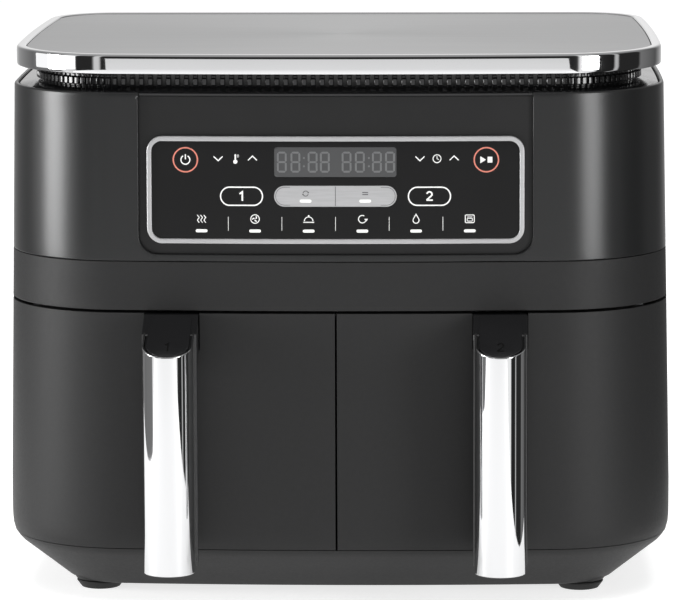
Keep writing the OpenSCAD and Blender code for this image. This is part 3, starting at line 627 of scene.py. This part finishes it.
# ------------ control panel
w, h = (FRAME_HIGH[0] - FRAME_LOW[0]) / 2, (FRAME_HIGH[2] - FRAME_LOW[2]) / 2
piece("fascia", [plate([dense(rounded(-121, -39.4, 121, 54.4, 8), 4)], panel, 3.15, 5.6,
                       np.arange(-118, 119, 5.0), np.arange(-36, 53, 12.0))],
      "housing", "gloss_black", ["fascia"], bevel=0.3, mat=shader(
          "fascia moulding", (0.011, 0.011, 0.0112), 0.33, 0, 0.27, tone=(50, 0.05), wear=(30, 0.03),
          grain=[(1900, 0.08, 0.02)]))
BAND = 2.8
piece("control_frame", [plate([dense(rounded(-w, -h, w, h, 9.0, 14), 3),
                               dense(rounded(BAND - w, BAND - h, w - BAND, h - BAND, 6.0, 12), 3)],
                              panel, -0.6, 3.1)],
      "housing", "satin_aluminium", ["control_frame"], bevel=0.55, segments=4)
glass_w, glass_h = w - BAND - 0.15, h - BAND - 0.15
LENS = cad("display_lens")
lens_w = (LENS[1][0] - LENS[0][0]) / 2
lens_up, lens_h = 16.4, 8.7
lens = dense(rounded(-lens_w, lens_up - lens_h, lens_w, lens_up + lens_h, 1.6), 3)
piece("touch_panel", [plate([dense(rounded(-glass_w, -glass_h, glass_w, glass_h, 5.8, 12), 3), shrink(lens, -0.1)],
                            panel, 1.0, 3.1, np.arange(-104, 105, 4.0), np.arange(-26, 27, 6.0))],
      "housing", "panel_glass", ["touch_panel"], bevel=0.12, segments=2)
piece("display_lens", [plate([lens], panel, 0.95, 3.05, np.arange(-33, 34, 4.0), np.arange(9, 25, 5.0))],
      "housing", "display_grey", ["display_lens"], bevel=0.15, segments=2)
strip_up, strip_h, strip_w = -3.5, 6.1, 35.6
strip_edge = rounded(-strip_w, strip_up - strip_h, strip_w, strip_up + strip_h, 6.0, 14)
piece("mode_strip", [plate([dense(strip_edge, 3)], panel, 0.7, 0.97, np.arange(-30, 31, 4.0), [strip_up])],
      "housing", "silver_print", ["mode_strip"], bevel=0.08, segments=2)


def decal(name, shapes, depth, mat, slot="lamp_white", nodes=(), thick=0.14):
    """Printed or inlaid shapes on the panel, 0.04 mm proud of the depth. A shape is a list of outlines."""
    return piece(name, [plate([np.asarray(s, float) for s in shape], panel, depth - 0.04, depth + thick)
                        for shape in shapes], "housing", slot, nodes, mat=mat)


def segments(x, y, w, h, t):
    """Figure of seven bars t thick, its lower left corner at (x, y)."""
    g, k = 0.12 * t, t / 2
    bar = lambda x0, x1, y: [(x0 + g, y), (x0 + k + g, y + k), (x1 - k - g, y + k), (x1 - g, y),
                             (x1 - k - g, y - k), (x0 + k + g, y - k)]
    up = lambda x, y0, y1: [(x, y0 + g), (x + k, y0 + k + g), (x + k, y1 - k - g), (x, y1 - g),
                            (x - k, y1 - k - g), (x - k, y0 + k + g)]
    x0, x1, y0, y1, ym = x + t / 2, x + w - t / 2, y + t / 2, y + h - t / 2, y + h / 2
    return [[o] for o in (bar(x0, x1, y1), up(x1, ym, y1), up(x1, y0, ym), bar(x0, x1, y0), up(x0, y0, ym),
                          up(x0, ym, y1), bar(x0, x1, ym))]


ghost = []
for x in (-33.3, -25.4, -15.4, -8.3, 4.3, 12.0, 21.9, 29.5):
    ghost += segments(x - 0.6, lens_up - 6.1, 5.7, 12.2, 1.1)
for x in (-18.2, 19.5):
    ghost += [[circle(x, lens_up + dy, 0.6, 12)] for dy in (-2.4, 2.4)]
decal("display_segments", ghost, 0.95, PRINT_GREY, "display_grey", thick=0.02)


def at(shapes, x, y):
    return [[np.asarray(o, float) + (x, y) for o in shape] for shape in shapes]


LINE = 0.5
ring = lambda r, width, steps=48: [circle(0, 0, r + width / 2, steps), circle(0, 0, r - width / 2, steps)]
bow = lambda cx, cy, r, a0, a1, width=LINE, steps=20: stroke(arc(cx, cy, r, a0, a1, steps), width)
box2 = lambda x0, y0, x1, y1, r=0.2: rounded(x0, y0, x1, y1, r, 4)
figure_1 = [stroke([(-1.25, 1.35), (0.35, 2.55), (0.35, -2.7)], 0.95)]
figure_2 = [stroke(np.vstack([arc(0, 1.15, 1.45, 170, -32, 16), [(-1.55, -2.1)]]), 0.95),
            [box2(-1.85, -2.7, 1.95, -1.8, 0.1)]]
power = [bow(0, 0, 2.6, 120, 420, 0.65, 28), [box2(-0.33, 0.2, 0.33, 3.2)]]
play_stop = [[[(-3.3, -2.0), (-3.3, 2.0), (0.0, 0)][::-1]], [box2(0.9, -1.7, 3.7, 1.7)]]
chevron = lambda up: [stroke([(-2.6, -1.1 * up), (0, 1.4 * up), (2.6, -1.1 * up)], 0.62)]
thermometer = [stroke([(0, -1), (0, 2.6)], 0.9), [circle(0, -1.7, 1.25, 20)], [box2(0.9, 1.9, 2.1, 2.3, 0.1)],
               [box2(0.9, 0.9, 2.1, 1.3, 0.1)]]
clock = [ring(2.3, LINE), stroke([(0, 1.5), (0, 0), (1.1, -0.6)], 0.42)]
t = np.linspace(-2.3, 2.3, 15)
waves = [stroke(np.column_stack([0.45 * np.sin(t * 2.1) + dx, t]), LINE) for dx in (-1.9, 0, 1.9)]
fan = [ring(2.5, LINE)] + [stroke([(cos(a) * 0.4, sin(a) * 0.4), (cos(a + 0.35) * 1.1, sin(a + 0.35) * 1.1),
                                   (cos(a + 0.9) * 1.7, sin(a + 0.9) * 1.7)], 0.6) for a in (0.3, 2.394, 4.489)]
cloche = [bow(0, -1.2, 2.5, 0, 180), [box2(-3.2, -2.1, 3.2, -1.6)], [circle(0, 1.9, 0.5, 14)]]
again = [bow(0, 0, 2.2, 60, 350), [[(1.1, 0.2), (3.3, 0.2), (2.2, -1.5)][::-1]]]
drop = [stroke(np.vstack([[(0, 2.8)], arc(0, -0.7, 1.75, 152, 388, 22)]), LINE, True)]
oven = [stroke(rounded(-2.6, -2.2, 2.6, 2.3, 0.6, 4), LINE, True), [box2(-1.5, 0.9, 1.5, 1.3, 0.1)],
        stroke(rounded(-1.5, -1.3, 1.5, 0.3, 0.3, 3), 0.4, True)]

white = at(power, -87.2, 17.6) + at(play_stop, 87.4, 17.6)
white += at(chevron(-1), -68.1, 18.5) + at(chevron(1), -48.1, 18.5) + at(chevron(-1), 49.1, 18.5)
white += at(chevron(1), 68.9, 18.5) + at(thermometer, -58.1, 18.3) + at(clock, 59.0, 18.3)
for sx in (-1, 1):
    white += at([stroke(rounded(-12.2, -5.3, 12.2, 5.3, 5.25, 12), 0.75, True)], sx * 54.6, -3.6)
white += at(figure_1, -54.5, -3.6) + at(figure_2, 54.6, -3.6)
for k, icon in enumerate((waves, fan, cloche, again, drop, oven)):
    white += at(icon, (k - 2.5) * 31.2, -16.9)
white += [[box2(x - 0.14, -23.8, x + 0.14, -15.6, 0.1)] for x in (-62.4, -31.2, 0, 31.2, 62.4)]
decal("panel_symbols", white, 1.0, PRINT_WHITE)
decal("panel_rings", [at([ring(7.05, 0.8, 64)], x, 17.6)[0] for x in (-87.2, 87.6)], 1.0, PRINT_CORAL)
lamps = [[box2(x - 3.4, -24.8, x + 3.4, -23.0, 0.85)] for x in np.arange(-2.5, 3) * 31.2]
decal("indicator_lamps", lamps, 0.99, MATERIALS["lamp_white"], nodes=["indicator_lamps"])
decal("strip_lamps", [[box2(x - 3.4, -7.2, x + 3.4, -5.4, 0.85)] for x in (-17.3, 17.3)], 0.69,
      MATERIALS["lamp_white"])
sync = [bow(0, 0, 1.5, 30, 170, 0.4, 12), bow(0, 0, 1.5, 210, 350, 0.4, 12),
        [[(1.0, 0.9), (2.1, 0.9), (1.5, -0.1)][::-1]], [[(-1.0, -0.9), (-2.1, -0.9), (-1.5, 0.1)][::-1]]]
match = [[box2(-1.7, 0.35, 1.7, 0.85, 0.1)], [box2(-1.7, -0.85, 1.7, -0.35, 0.1)]]
decal("strip_symbols", at(sync, -17.3, -1.9) + at(match, 17.3, -1.9) + [[box2(-0.15, -9.2, 0.15, 2.2, 0.1)]]
      + [[shrink(strip_edge, 0.75), shrink(strip_edge, 1.0)]], 0.69, PRINT_DARK, "panel_glass")

# ------------ back
rw, r0, r1, ry = REAR_HIGH[0], REAR_LOW[2], REAR_HIGH[2], REAR_HIGH[1]
cover = dense(rounded(-rw, r0, rw, r1, 14, 10), 6)
holes = [rounded(-98, 176 + 8 * k, 98, 180 + 8 * k, 1.9, 5) for k in range(13)]
sinks = [circle(sx * (rw - 8), z, 3.6, 28) for sx in (-1, 1) for z in (r0 + 9, r1 - 9)]
deep = lambda u, v: ry - (BACK_Y - inset(v) + 0.15)
piece("rear_vent_cover", [plate([cover] + holes + sinks, rearward(ry), 0.0, 2.6),
                          plate([cover, shrink(cover, 2.6)], rearward(ry), 2.5, deep)]
      + [moved(block((-98.5, -3.2, -0.7), (98.5, 3.2, 0.7), 0.5),
               Matrix.Translation((0, ry - 5.6, 180.3 + 8 * k)) @ Matrix.Rotation(radians(38), 4, "X"))
         for k in range(13)],
      "housing", "matte_black", ["rear_vent_cover"], bevel=0.7, segments=2)
GLAND = cad("cord_gland")
gx, gz = (GLAND[0][0] + GLAND[1][0]) / 2, (GLAND[0][2] + GLAND[1][2]) / 2
sleeve = [(3.75, 150), (3.75, 163.4), (4.1, 164), (6.2, 164), (6.9, 163.4), (7, 162.4), (6.5, 162), (6.5, 161.2),
          (7, 160.8), (7, 159.6), (7.6, 159), (9.3, 159), (9.9, 158.5), (10, 157.8), (10, 156.15), (7, 156.1),
          (7, 153), (9.7, 153), (10, 152.6), (10, 150.4), (9.7, 150)]
piece("cord_gland", [lathe(sleeve, (gx, 0, gz), "y", 56, closed=True)], "housing", "rubber", ["cord_gland"])

# ------------ drawer fronts
low, high, gap = DRAWER_LOW[2], DRAWER_HIGH[2], DRAWER_LOW[0]
s0, s1 = s_at_x(gap, 100), L2 + (DRAWER_HIGH[1] - CORNER_CY)
pocket_w, pocket_low, pocket_r, pocket_y = 16.3, 148.0, 6.0, -111.0
sl, sr = s_at_x(HANDLE_X - pocket_w, 160), s_at_x(HANDLE_X + pocket_w, 160)
front = dense(np.vstack([
    [(s0, low)], arc(s1 - 3, low + 3, 3, -90, 0, 8), arc(s1 - 6, high - 6, 6, 0, 90, 8), [(sr, high)],
    arc(sr - pocket_r, pocket_low + pocket_r, pocket_r, 0, -90, 10),
    arc(sl + pocket_r, pocket_low + pocket_r, pocket_r, -90, -180, 10), [(sl, high), (s0, high)]]), 4)


def flange(u, v):
    """Depth at which the wall round a drawer front ends: at the heat shield, or just behind the pocket's floor."""
    p, n = plan(u)
    in_pocket = (u > sl - 0.1) & (u < sr + 0.1) & (v > pocket_low - 0.1)
    stop = np.where(in_pocket, pocket_y + 1.6, cad("drawer_heat_shield_right")[0][1] - 0.9)
    return np.where(p[:, 1] < stop - 1, (stop - p[:, 1]) / np.maximum(-n[:, 1], 0.3) - inset(v), 0.0)


FRONT_ROWS = np.array([36.4, 38, 40, 42, 44, 47, 52, 60, 70, 82, 94, 106, 118, 130, 142, 150, 158, 166])
pocket_floor = rounded(HANDLE_X - pocket_w - 1.3, pocket_low - 1.3, HANDLE_X + pocket_w + 1.3, high + 8, 9, 10)
pocket_floor[:, 1] = np.minimum(pocket_floor[:, 1], high - 1.0)
pocket_floor = dense(pocket_floor, 3)
pair("drawer_front", [tub(front, skin, SKIN_T, 2.4, flange, np.arange(s0 + 5, s1 - 2, 4.0), FRONT_ROWS),
                      plate([pocket_floor], facing(pocket_y), 0.0, 1.5)],
     "{side}_drawer", "matte_black", ["drawer_front_{side}"], bevel=0.9)
pair("heat_shield", [plate([rounded(5, 38, 179, 168, 4, 6), rounded(HANDLE_X - 13, 157, HANDLE_X - 3, 167, 4.9, 8),
                            rounded(HANDLE_X + 3, 157, HANDLE_X + 13, 167, 4.9, 8)], facing(-84.2), 0.0, 1.0),
                     plate(stroke(rounded(14, 47, 170, 148, 8, 8), 2.4, True), facing(-84.55), 0.0, 0.6)],
     "{side}_drawer", "zinc_steel", ["drawer_heat_shield_{side}"], bevel=0.25, segments=2)

# ------------ handles
SLOPE = 17 / 52
hw, hy, hz = (CLAD_HIGH[0] - CLAD_LOW[0]) / 2, CLAD_LOW[1], CLAD_LOW[2]
clad_back = CLAD_HIGH[1]


def slant_z(y):
    """Height of the handle's top: level as far as the front, then falling."""
    return DRAWER_HIGH[2] - np.maximum(FRONT_Y - y, 0) * SLOPE


def grip(i, back, steps=40):
    """Handle outline in plan drawn in by i, from the back left round the front to the back right."""
    cy = hy + hw
    return np.vstack([[(HANDLE_X - hw + i, back)], arc(HANDLE_X, cy, hw - i, 180, 360, steps),
                      [(HANDLE_X + hw - i, back)]])


def capped(i, back, low_z, drop, soft):
    """Solid of the grip's outline from low_z up to the slanted top less drop, with a soft top edge."""
    rings = []
    for di, dz in ((0, None), (0, soft), (0.08 * soft, 0.55 * soft), (0.3 * soft, 0.2 * soft), (0.75 * soft, 0)):
        p = dense(grip(i + di, back), 3)
        p[:, 1] = np.minimum(p[:, 1], back)
        z = np.full(len(p), low_z) if dz is None else slant_z(p[:, 1]) - drop - dz
        rings.append(np.column_stack([p, z]))
    n = min(len(r) for r in rings)
    return loft([r[np.linspace(0, len(r) - 1, n).round().astype(int)] for r in rings])


def clad_wall():
    """The bright wall: a closed section carried round the grip's outline."""
    section = [(0.45, "low", 0), (0.13, "low", 0.12), (0, "low", 0.5), (0, "high", 0.55), (0.08, "high", 0.22),
               (0.3, "high", 0.04), (0.55, "high", 0), (0.95, "high", 0.05), (1.15, "high", 0.25),
               (1.2, "high", 0.6), (1.2, "low", 0)]
    base = [grip(i, clad_back) for i, _, _ in section]
    rings = []
    for k in range(len(base[0])):
        ring_k = []
        for (i, end, dz), line in zip(section, base):
            x, y = line[k]
            ring_k.append((x, y, hz + dz if end == "low" else slant_z(y) - dz))
        rings.append(np.array(ring_k))
    return loft(rings)


pair("handle_cladding", [clad_wall(),
                         plate([dense(grip(0.42, clad_back - 0.1), 3)], level(hz + 1.2), 0.0, 1.17)],
     "{side}_drawer", "chrome", ["handle_cladding_{side}"], sharp=55)

core_w, core_back = (CORE_HIGH[0] - CORE_LOW[0]) / 2, -137.0
core_top = DRAWER_HIGH[2] - 0.2
spine = np.vstack([[(clad_back + 0.05, hz + 0.8), (core_back, hz + 2.8)],
                   arc(core_back + 15, 136, 15, 180, 90, 12),
                   [(pocket_y - 0.1, 151), (pocket_y - 0.1, core_top), (FRONT_Y, core_top),
                    (clad_back + 0.05, slant_z(clad_back) - 1.0)]])
inlay = np.vstack([arc(HANDLE_X, hy + hw, hw - 2.35, 180, 360, 40), [(HANDLE_X + hw - 2.35, FRONT_Y)],
                   [(HANDLE_X - hw + 2.35, FRONT_Y)]])
inlay = dense(inlay, 4)
tops = []
for di, dz in ((0, 6.0), (0, 0.75), (0.06, 0.42), (0.22, 0.15), (0.55, 0.0)):
    p = shrink(inlay, di)
    tops.append(np.column_stack([p, slant_z(p[:, 1]) - 0.12 - dz]))
pair("handle_core", [plate([dense(spine, 4)], sideways(HANDLE_X - core_w), 0.0, 2 * core_w),
                     capped(1.26, clad_back + 1, hz + 1.3, 1.9, 0.3), loft(tops)],
     "{side}_drawer", "gloss_black", ["handle_core_{side}"],
     rule=lambda m: 1.1 if m[1] > clad_back - 0.5 and abs(abs(m[0] - HANDLE_X) - core_w) < 0.3 else 0)


def on_top(x, y0):
    """Place on the handle's slanted top: v runs up the slope from y0."""
    a = atan(SLOPE)
    return lambda u, v, d: np.stack([x + u + 0 * d, y0 + v * cos(a) + 0 * d,
                                     slant_z(y0 + v * cos(a)) - 0.12 - d], -1)


NUMERAL_Y, NUMERAL_SCALE = -163.2, [1.1, 1.95]
for side, sx, shape in (("left", -1, figure_1), ("right", 1, figure_2)):
    piece(f"handle_numeral_{side}", [plate([np.asarray(o) * NUMERAL_SCALE for o in part],
                                           on_top(sx * HANDLE_X, NUMERAL_Y), -0.04, 0.1) for part in shape],
          f"{side}_drawer", "panel_glass", mat=ENGRAVED)

# ------------ baskets and crisper plates
zx, rim = ZONE_X, BASKET_HIGH[2]
bx0, bx1, by0, by1 = zx - 84.5, zx + 84.5, -80.5, 117.5


def basket_ring(z, i):
    """Basket's outline at height z, drawn in by i."""
    p = rounded(bx0 + i, by0 + i, bx1 - i, by1 - i, 24 - i / 2, 12)
    return np.column_stack([p, np.full(len(p), z)])


bl = BASKET_LOW[2]
wall = [(bl, 15), (bl + 0.15, 13), (bl + 0.9, 10.6), (bl + 2.2, 8.4), (bl + 4.4, 6.7), (bl + 7, 5.7),
        (bl + 10, 5.0), (rim - 2.4, 0.16), (rim - 1.9, -0.1), (rim - 1.6, -0.6), (rim - 1.55, -1.6),
        (rim - 1.25, -2.2), (rim - 0.8, -2.4), (rim - 0.3, -2.2), (rim, -1.5), (rim, 0.9), (rim - 0.4, 1.5),
        (rim - 1.0, 1.72), (rim - 2.4, 1.8), (bl + 10.4, 6.6), (bl + 7.6, 7.3), (bl + 5.3, 8.4), (bl + 3.4, 10),
        (bl + 2.2, 12), (bl + 1.7, 14.4), (bl + 1.6, 17)]
pair("basket", [loft([basket_ring(z, i) for z, i in wall]),
                block((zx - 30, -83.1, 118), (zx + 30, -78.6, 144), 1.2),
                block((zx - 8, 112.0, 57), (zx + 8, 119.2, 73), 1.5)],
     "{side}_drawer", "non_stick", ["basket_{side}"], bevel=0.4, segments=2, sharp=60)
px0, px1, py0, py1, pz = PLATE_LOW[0], PLATE_HIGH[0], PLATE_LOW[1], PLATE_HIGH[1], PLATE_HIGH[2]
sheet = rounded(px0, py0, px1, py1, 20, 12)
vents = [circle(zx + 19 * i, 29 + 20 * j, 3.2, 20) for i in range(-3, 4) for j in range(-4, 4)]
skirt_of = [np.column_stack([shrink(sheet, i), np.full(len(sheet), z)]) for z, i in (
    (pz - 0.9, 0.05), (pz - 3, 0.0), (pz - 6, 0.0), (pz - 6, 1.4), (pz - 0.9, 1.4))]
pair("crisper_plate", [plate([dense(sheet, 6)] + vents, level(pz), 0.0, 1.5), loft(skirt_of, closed=True)],
     "{side}_plate", "non_stick", ["crisper_plate_{side}"], bevel=0.45, segments=3)
stud = cad("plate_bumpers_right")[0][2]
studs = [(0, stud), (3.3, stud), (3.9, stud + 0.4), (4.1, stud + 1.2), (4.9, pz - 2), (0, pz - 2)]
ZONE_Y = 18.5
pads = []
for sx in (-1, 1):
    for sy in (-1, 1):
        pads.append(lathe(studs, (zx + 58 * sx, ZONE_Y + 72 * sy, 0), steps=28))
        edge, y = zx + sx * (px1 - zx), ZONE_Y + 48 * sy
        pads.append(plate([rounded(y - 6.4, pz - 7.4, y + 6.4, pz + 1.4, 2.2, 6)],
                          sideways(min(edge, edge + 1.65 * sx)), 0.0, 1.65))
        pads.append(block((min(edge, edge - 1.3 * sx), y - 5, pz + 0.02),
                          (max(edge, edge - 1.3 * sx), y + 5, pz + 1.3), 0.3))
pair("plate_bumpers", pads, "{side}_plate", "silicone", ["plate_bumpers_{side}"], bevel=0.4, segments=2)

# ------------ fans and motors
MOTOR = cad("fan_motor_right")
fan_y = (MOTOR[0][1] + MOTOR[1][1]) / 2
HOT, COOL = cad("hot_air_fan_right"), cad("cooling_fan_right")
spindle, f0, f1 = (zx, fan_y, 0), HOT[0][2], HOT[1][2]
BORE, HOT_BLADES, COOL_BLADES = 3.02, 10, 7
hub = [(BORE, f0), (8.2, f0), (8.9, f0 + 0.6), (9, f0 + 1.5), (9, f1 - 1.4), (9.8, f1 - 1), (53.6, f1 - 1),
       (54.7, f1 - 1.4), (55, f1 - 0.9), (54.7, f1 - 0.2), (53.8, f1), (BORE, f1)]
blades = []
for k in range(HOT_BLADES):
    r = np.linspace(8.5, 53, 14)
    a = k * 2 * pi / HOT_BLADES + 0.55 * (1 - (r - 8.5) / 44.5) ** 1.5
    line = np.column_stack([zx + r * np.cos(a), fan_y + r * np.sin(a)])
    blades.append(plate(stroke(line, 1.1), level(f1 - 0.6), 0.0, f1 - 0.6 - f0 - 0.4))
pair("hot_air_fan", [lathe(hub, spindle, closed=True, steps=72)] + blades,
     "{side}_fan", "bare_aluminium", ["hot_air_fan_{side}"])
c0, c1 = COOL[0][2], COOL[1][2]
hub = [(BORE, c0), (7.2, c0), (8, c0 + 0.8), (8, c1 - 1.6), (7.4, c1 - 0.5), (6.4, c1), (BORE, c1)]
blades = []
for k in range(COOL_BLADES):
    rings = []
    for r in np.linspace(7.2, 32.6, 9):
        q = (r - 7.2) / 25.4
        chord, pitch = 9.5 + 4.5 * q - 2.2 * q ** 6, radians(42 - 16 * q)
        t = np.linspace(0, 2 * pi, 18, endpoint=False)
        a, b = chord / 2 * np.cos(t), 0.75 * np.sin(t) + 0.5 * np.cos(t) ** 2 - 0.25
        y, z = a * cos(pitch) - b * sin(pitch), a * sin(pitch) + b * cos(pitch)
        rings.append(np.column_stack([np.full(18, r), y, z]))
    spin = Matrix.Translation((zx, fan_y, (c0 + c1) / 2)) @ Matrix.Rotation(k * 2 * pi / COOL_BLADES, 4, "Z")
    blades.append(moved(loft(rings), spin))
pair("cooling_fan", [lathe(hub, spindle, closed=True, steps=40)] + blades,
     "{side}_fan", "white_plastic", ["cooling_fan_{side}"], sharp=50)
m0, m1 = MOTOR[0][2], MOTOR[1][2]
COPPER = shader("enamelled copper", (0.5, 0.2, 0.08), 0.35, 0.9, tone=(600, 0.15), wear=(300, 0.08),
                grain=[((300, 300, 3500), 0.25, 0.05)])
cap = [(3.1, m0), (17, m0), (19.4, m0 + 0.5), (20, m0 + 1.4), (20, m0 + 2.2), (14, m0 + 2.6), (3.1, m0 + 2.6)]
bell = [(3.1, m1), (6.6, m1), (7, m1 - 0.4), (7, m1 - 4), (18.2, m1 - 4.2), (19, m1 - 5), (19, m1 - 6.2),
        (3.1, m1 - 6.2)]
laminations = []
for k in range(9):
    z = 216 + 2 * k
    out = rounded(zx - 25, fan_y - 25, zx + 25, fan_y + 25, 6, 6)
    laminations.append(plate([out, circle(zx, fan_y, 12.5, 40)], level(z + 1.75), 0.0, 1.75))
coils = [(12.6, m0 + 2.7), (17.4, m0 + 2.7), (18.6, m0 + 3.6), (18.6, 215.6), (12.6, 215.6)]
coils_up = [(12.6, 234.2), (17.8, 234.2), (18.6, 235), (18.2, m1 - 6.6), (17.4, m1 - 6.3), (12.6, m1 - 6.3)]
posts = [block((x - 1.6, y - 1.6, 214.5), (x + 1.6, y + 1.6, 235.5), 1.5)
         for x in (zx - 20, zx + 20) for y in (fan_y - 20, fan_y + 20)]
pair("fan_motor", [lathe(c, spindle, closed=True) for c in (cap, bell)] + laminations + posts,
     "housing", "motor_steel", ["fan_motor_{side}"], bevel=0.15, segments=2)
pair("motor_windings", [lathe(c, spindle, closed=True) for c in (coils, coils_up)],
     "housing", "motor_steel", mat=COPPER)

# ------------ stage, light and camera
world = bpy.data.worlds.new("studio")
scene.world = world
world.use_nodes = True
wn, wl = world.node_tree.nodes, world.node_tree.links


def wired(kind, *sources, **settings):
    """World node with its sockets wired to, or set to, the given values in order."""
    n = wn.new(kind)
    for k, v in settings.items():
        setattr(n, k, v)
    for socket, source in zip(n.inputs, sources):
        if isinstance(source, bpy.types.NodeSocket):
            wl.new(source, socket)
        elif source is not None:
            socket.default_value = source
    return n


# studio as the object sees it: brightness round the horizon by direction in degrees, 0 in front, + to the right
AROUND = [(-180, 1.0), (-160, 0.6), (-150, 0.4), (-112, 0.2), (-109, 0.24), (-71, 0.26), (-68, 1.2),
          (-54, 0.9), (-51, 0.03), (-33, 0.03), (-31, 0.9), (-26, 0.9), (-24, 0.03), (24, 0.03), (28, 0.05),
          (31, 1.3), (47, 1.3), (50, 0.03), (69, 0.02), (71, 0.7), (74, 0.7), (76, 0.03), (104, 0.03),
          (108, 0.25), (140, 0.12), (160, 0.5), (180, 1.0)]
ray = wired("ShaderNodeSeparateXYZ", wn.new("ShaderNodeTexCoord").outputs["Generated"])
behind = wired("ShaderNodeMath", ray.outputs["Y"], -1.0, operation="MULTIPLY")
turn = wired("ShaderNodeMath", ray.outputs["X"], behind.outputs[0], operation="ARCTAN2")
turn = wired("ShaderNodeMath", turn.outputs[0], 0.5 / pi, 0.5, operation="MULTIPLY_ADD")
around = wired("ShaderNodeValToRGB", turn.outputs[0])
stops = around.color_ramp.elements
for _ in range(len(AROUND) - 2):
    stops.new(0.5)
for stop, (angle, bright) in zip(stops, AROUND):
    stop.position = 0.5 + angle / 360
for stop, (angle, bright) in zip(stops, AROUND):
    stop.color = (bright / 2, bright / 2, bright / 2, 1)
above = wired("ShaderNodeValToRGB", ray.outputs["Z"])
above.color_ramp.elements[0].position, above.color_ramp.elements[1].position = 0.35, 0.8
seen = wired("ShaderNodeMixRGB", above.outputs["Color"], around.outputs["Color"], (0.25, 0.25, 0.25, 1))
shown = wired("ShaderNodeMixRGB", wn.new("ShaderNodeLightPath").outputs["Is Camera Ray"], seen.outputs["Color"],
              (0.5, 0.5, 0.5, 1))
wl.new(shown.outputs["Color"], wn["Background"].inputs["Color"])
wn["Background"].inputs["Strength"].default_value = 2.0

# white sheet that the machine stands on
floor = bpy.data.meshes.new("floor")
edge = [(-3.4, -9), (2.8, -9), (0.93, -2.15), (0.33, -0.15), (0.33, 0.2), (0.95, 12), (-0.95, 12), (-0.62, 0.2),
        (-0.62, -0.35), (-1.05, -0.75), (-1.05, -1.2), (-0.72, -1.9)]
floor.from_pydata([(x, y, 0) for x, y in edge], [], [tuple(range(len(edge)))])
floor = bpy.data.objects.new("floor", floor)
link(floor)
floor.data.materials.append(shader("pale floor", (0.45, 0.45, 0.45), 0.7, 0, 0.2, tone=(2, 0.005), wear=(3, 0.02)))
lit = floor.data.materials[0].node_tree.nodes["Principled BSDF"].inputs
lit["Emission Color"].default_value, lit["Emission Strength"].default_value = (1, 1, 1, 1), 0.75


def soft_light(name, spot, aim, size, watts):
    """Rectangular softbox at the spot, turned to the aim."""
    data = bpy.data.lights.new(name, "AREA")
    data.shape, data.size, data.size_y = "RECTANGLE", size[0], size[1]
    data.energy = watts
    o = bpy.data.objects.new(name, data)
    link(o)
    o.location = spot
    o.rotation_euler = (Vector(aim) - Vector(spot)).to_track_quat("-Z", "Y").to_euler()
    return o


def strip_light(name, x, angle, reach, width, low, high, radiance):
    """Upright softbox facing the front corner at x, at the given direction and distance from it."""
    a, mid = radians(angle), (low + high) / 2
    spot = (x + reach * sin(a), -0.1 - reach * cos(a), mid)
    o = soft_light(name, spot, (x, -0.1, mid), (width, high - low), radiance * pi * width * (high - low))
    o.visible_camera = False


soft_light("overhead", (0, -0.1, 2.6), (0, -0.1, 0), (2.2, 3.0), 100).visible_glossy = False
strip_light("left softbox", -0.16, -79, 1.25, 1.3, 0.06, 0.62, 1.3)
strip_light("left strip", -0.16, -76, 1.15, 0.46, 0.05, 0.5, 19)
strip_light("right strip", 0.15, 42, 1.15, 0.36, 0.05, 0.5, 13)

scene.view_settings.view_transform = "Standard"
camera = bpy.data.objects.new("camera", bpy.data.cameras.new("camera"))
link(camera)
pitch, yaw, roll = radians(8.74), radians(1.70), radians(-0.22)
forward = Vector((-sin(yaw) * cos(pitch), cos(yaw) * cos(pitch), -sin(pitch)))
camera.location = (0.086, -2.935, 0.615)
camera.rotation_euler = (forward.to_track_quat("-Z", "Y").to_matrix() @ Matrix.Rotation(roll, 3, "Z")).to_euler()
camera.data.sensor_width, camera.data.lens = 36, 259.0
camera.data.clip_start, camera.data.clip_end = 0.05, 60
bpy.context.scene.camera = camera
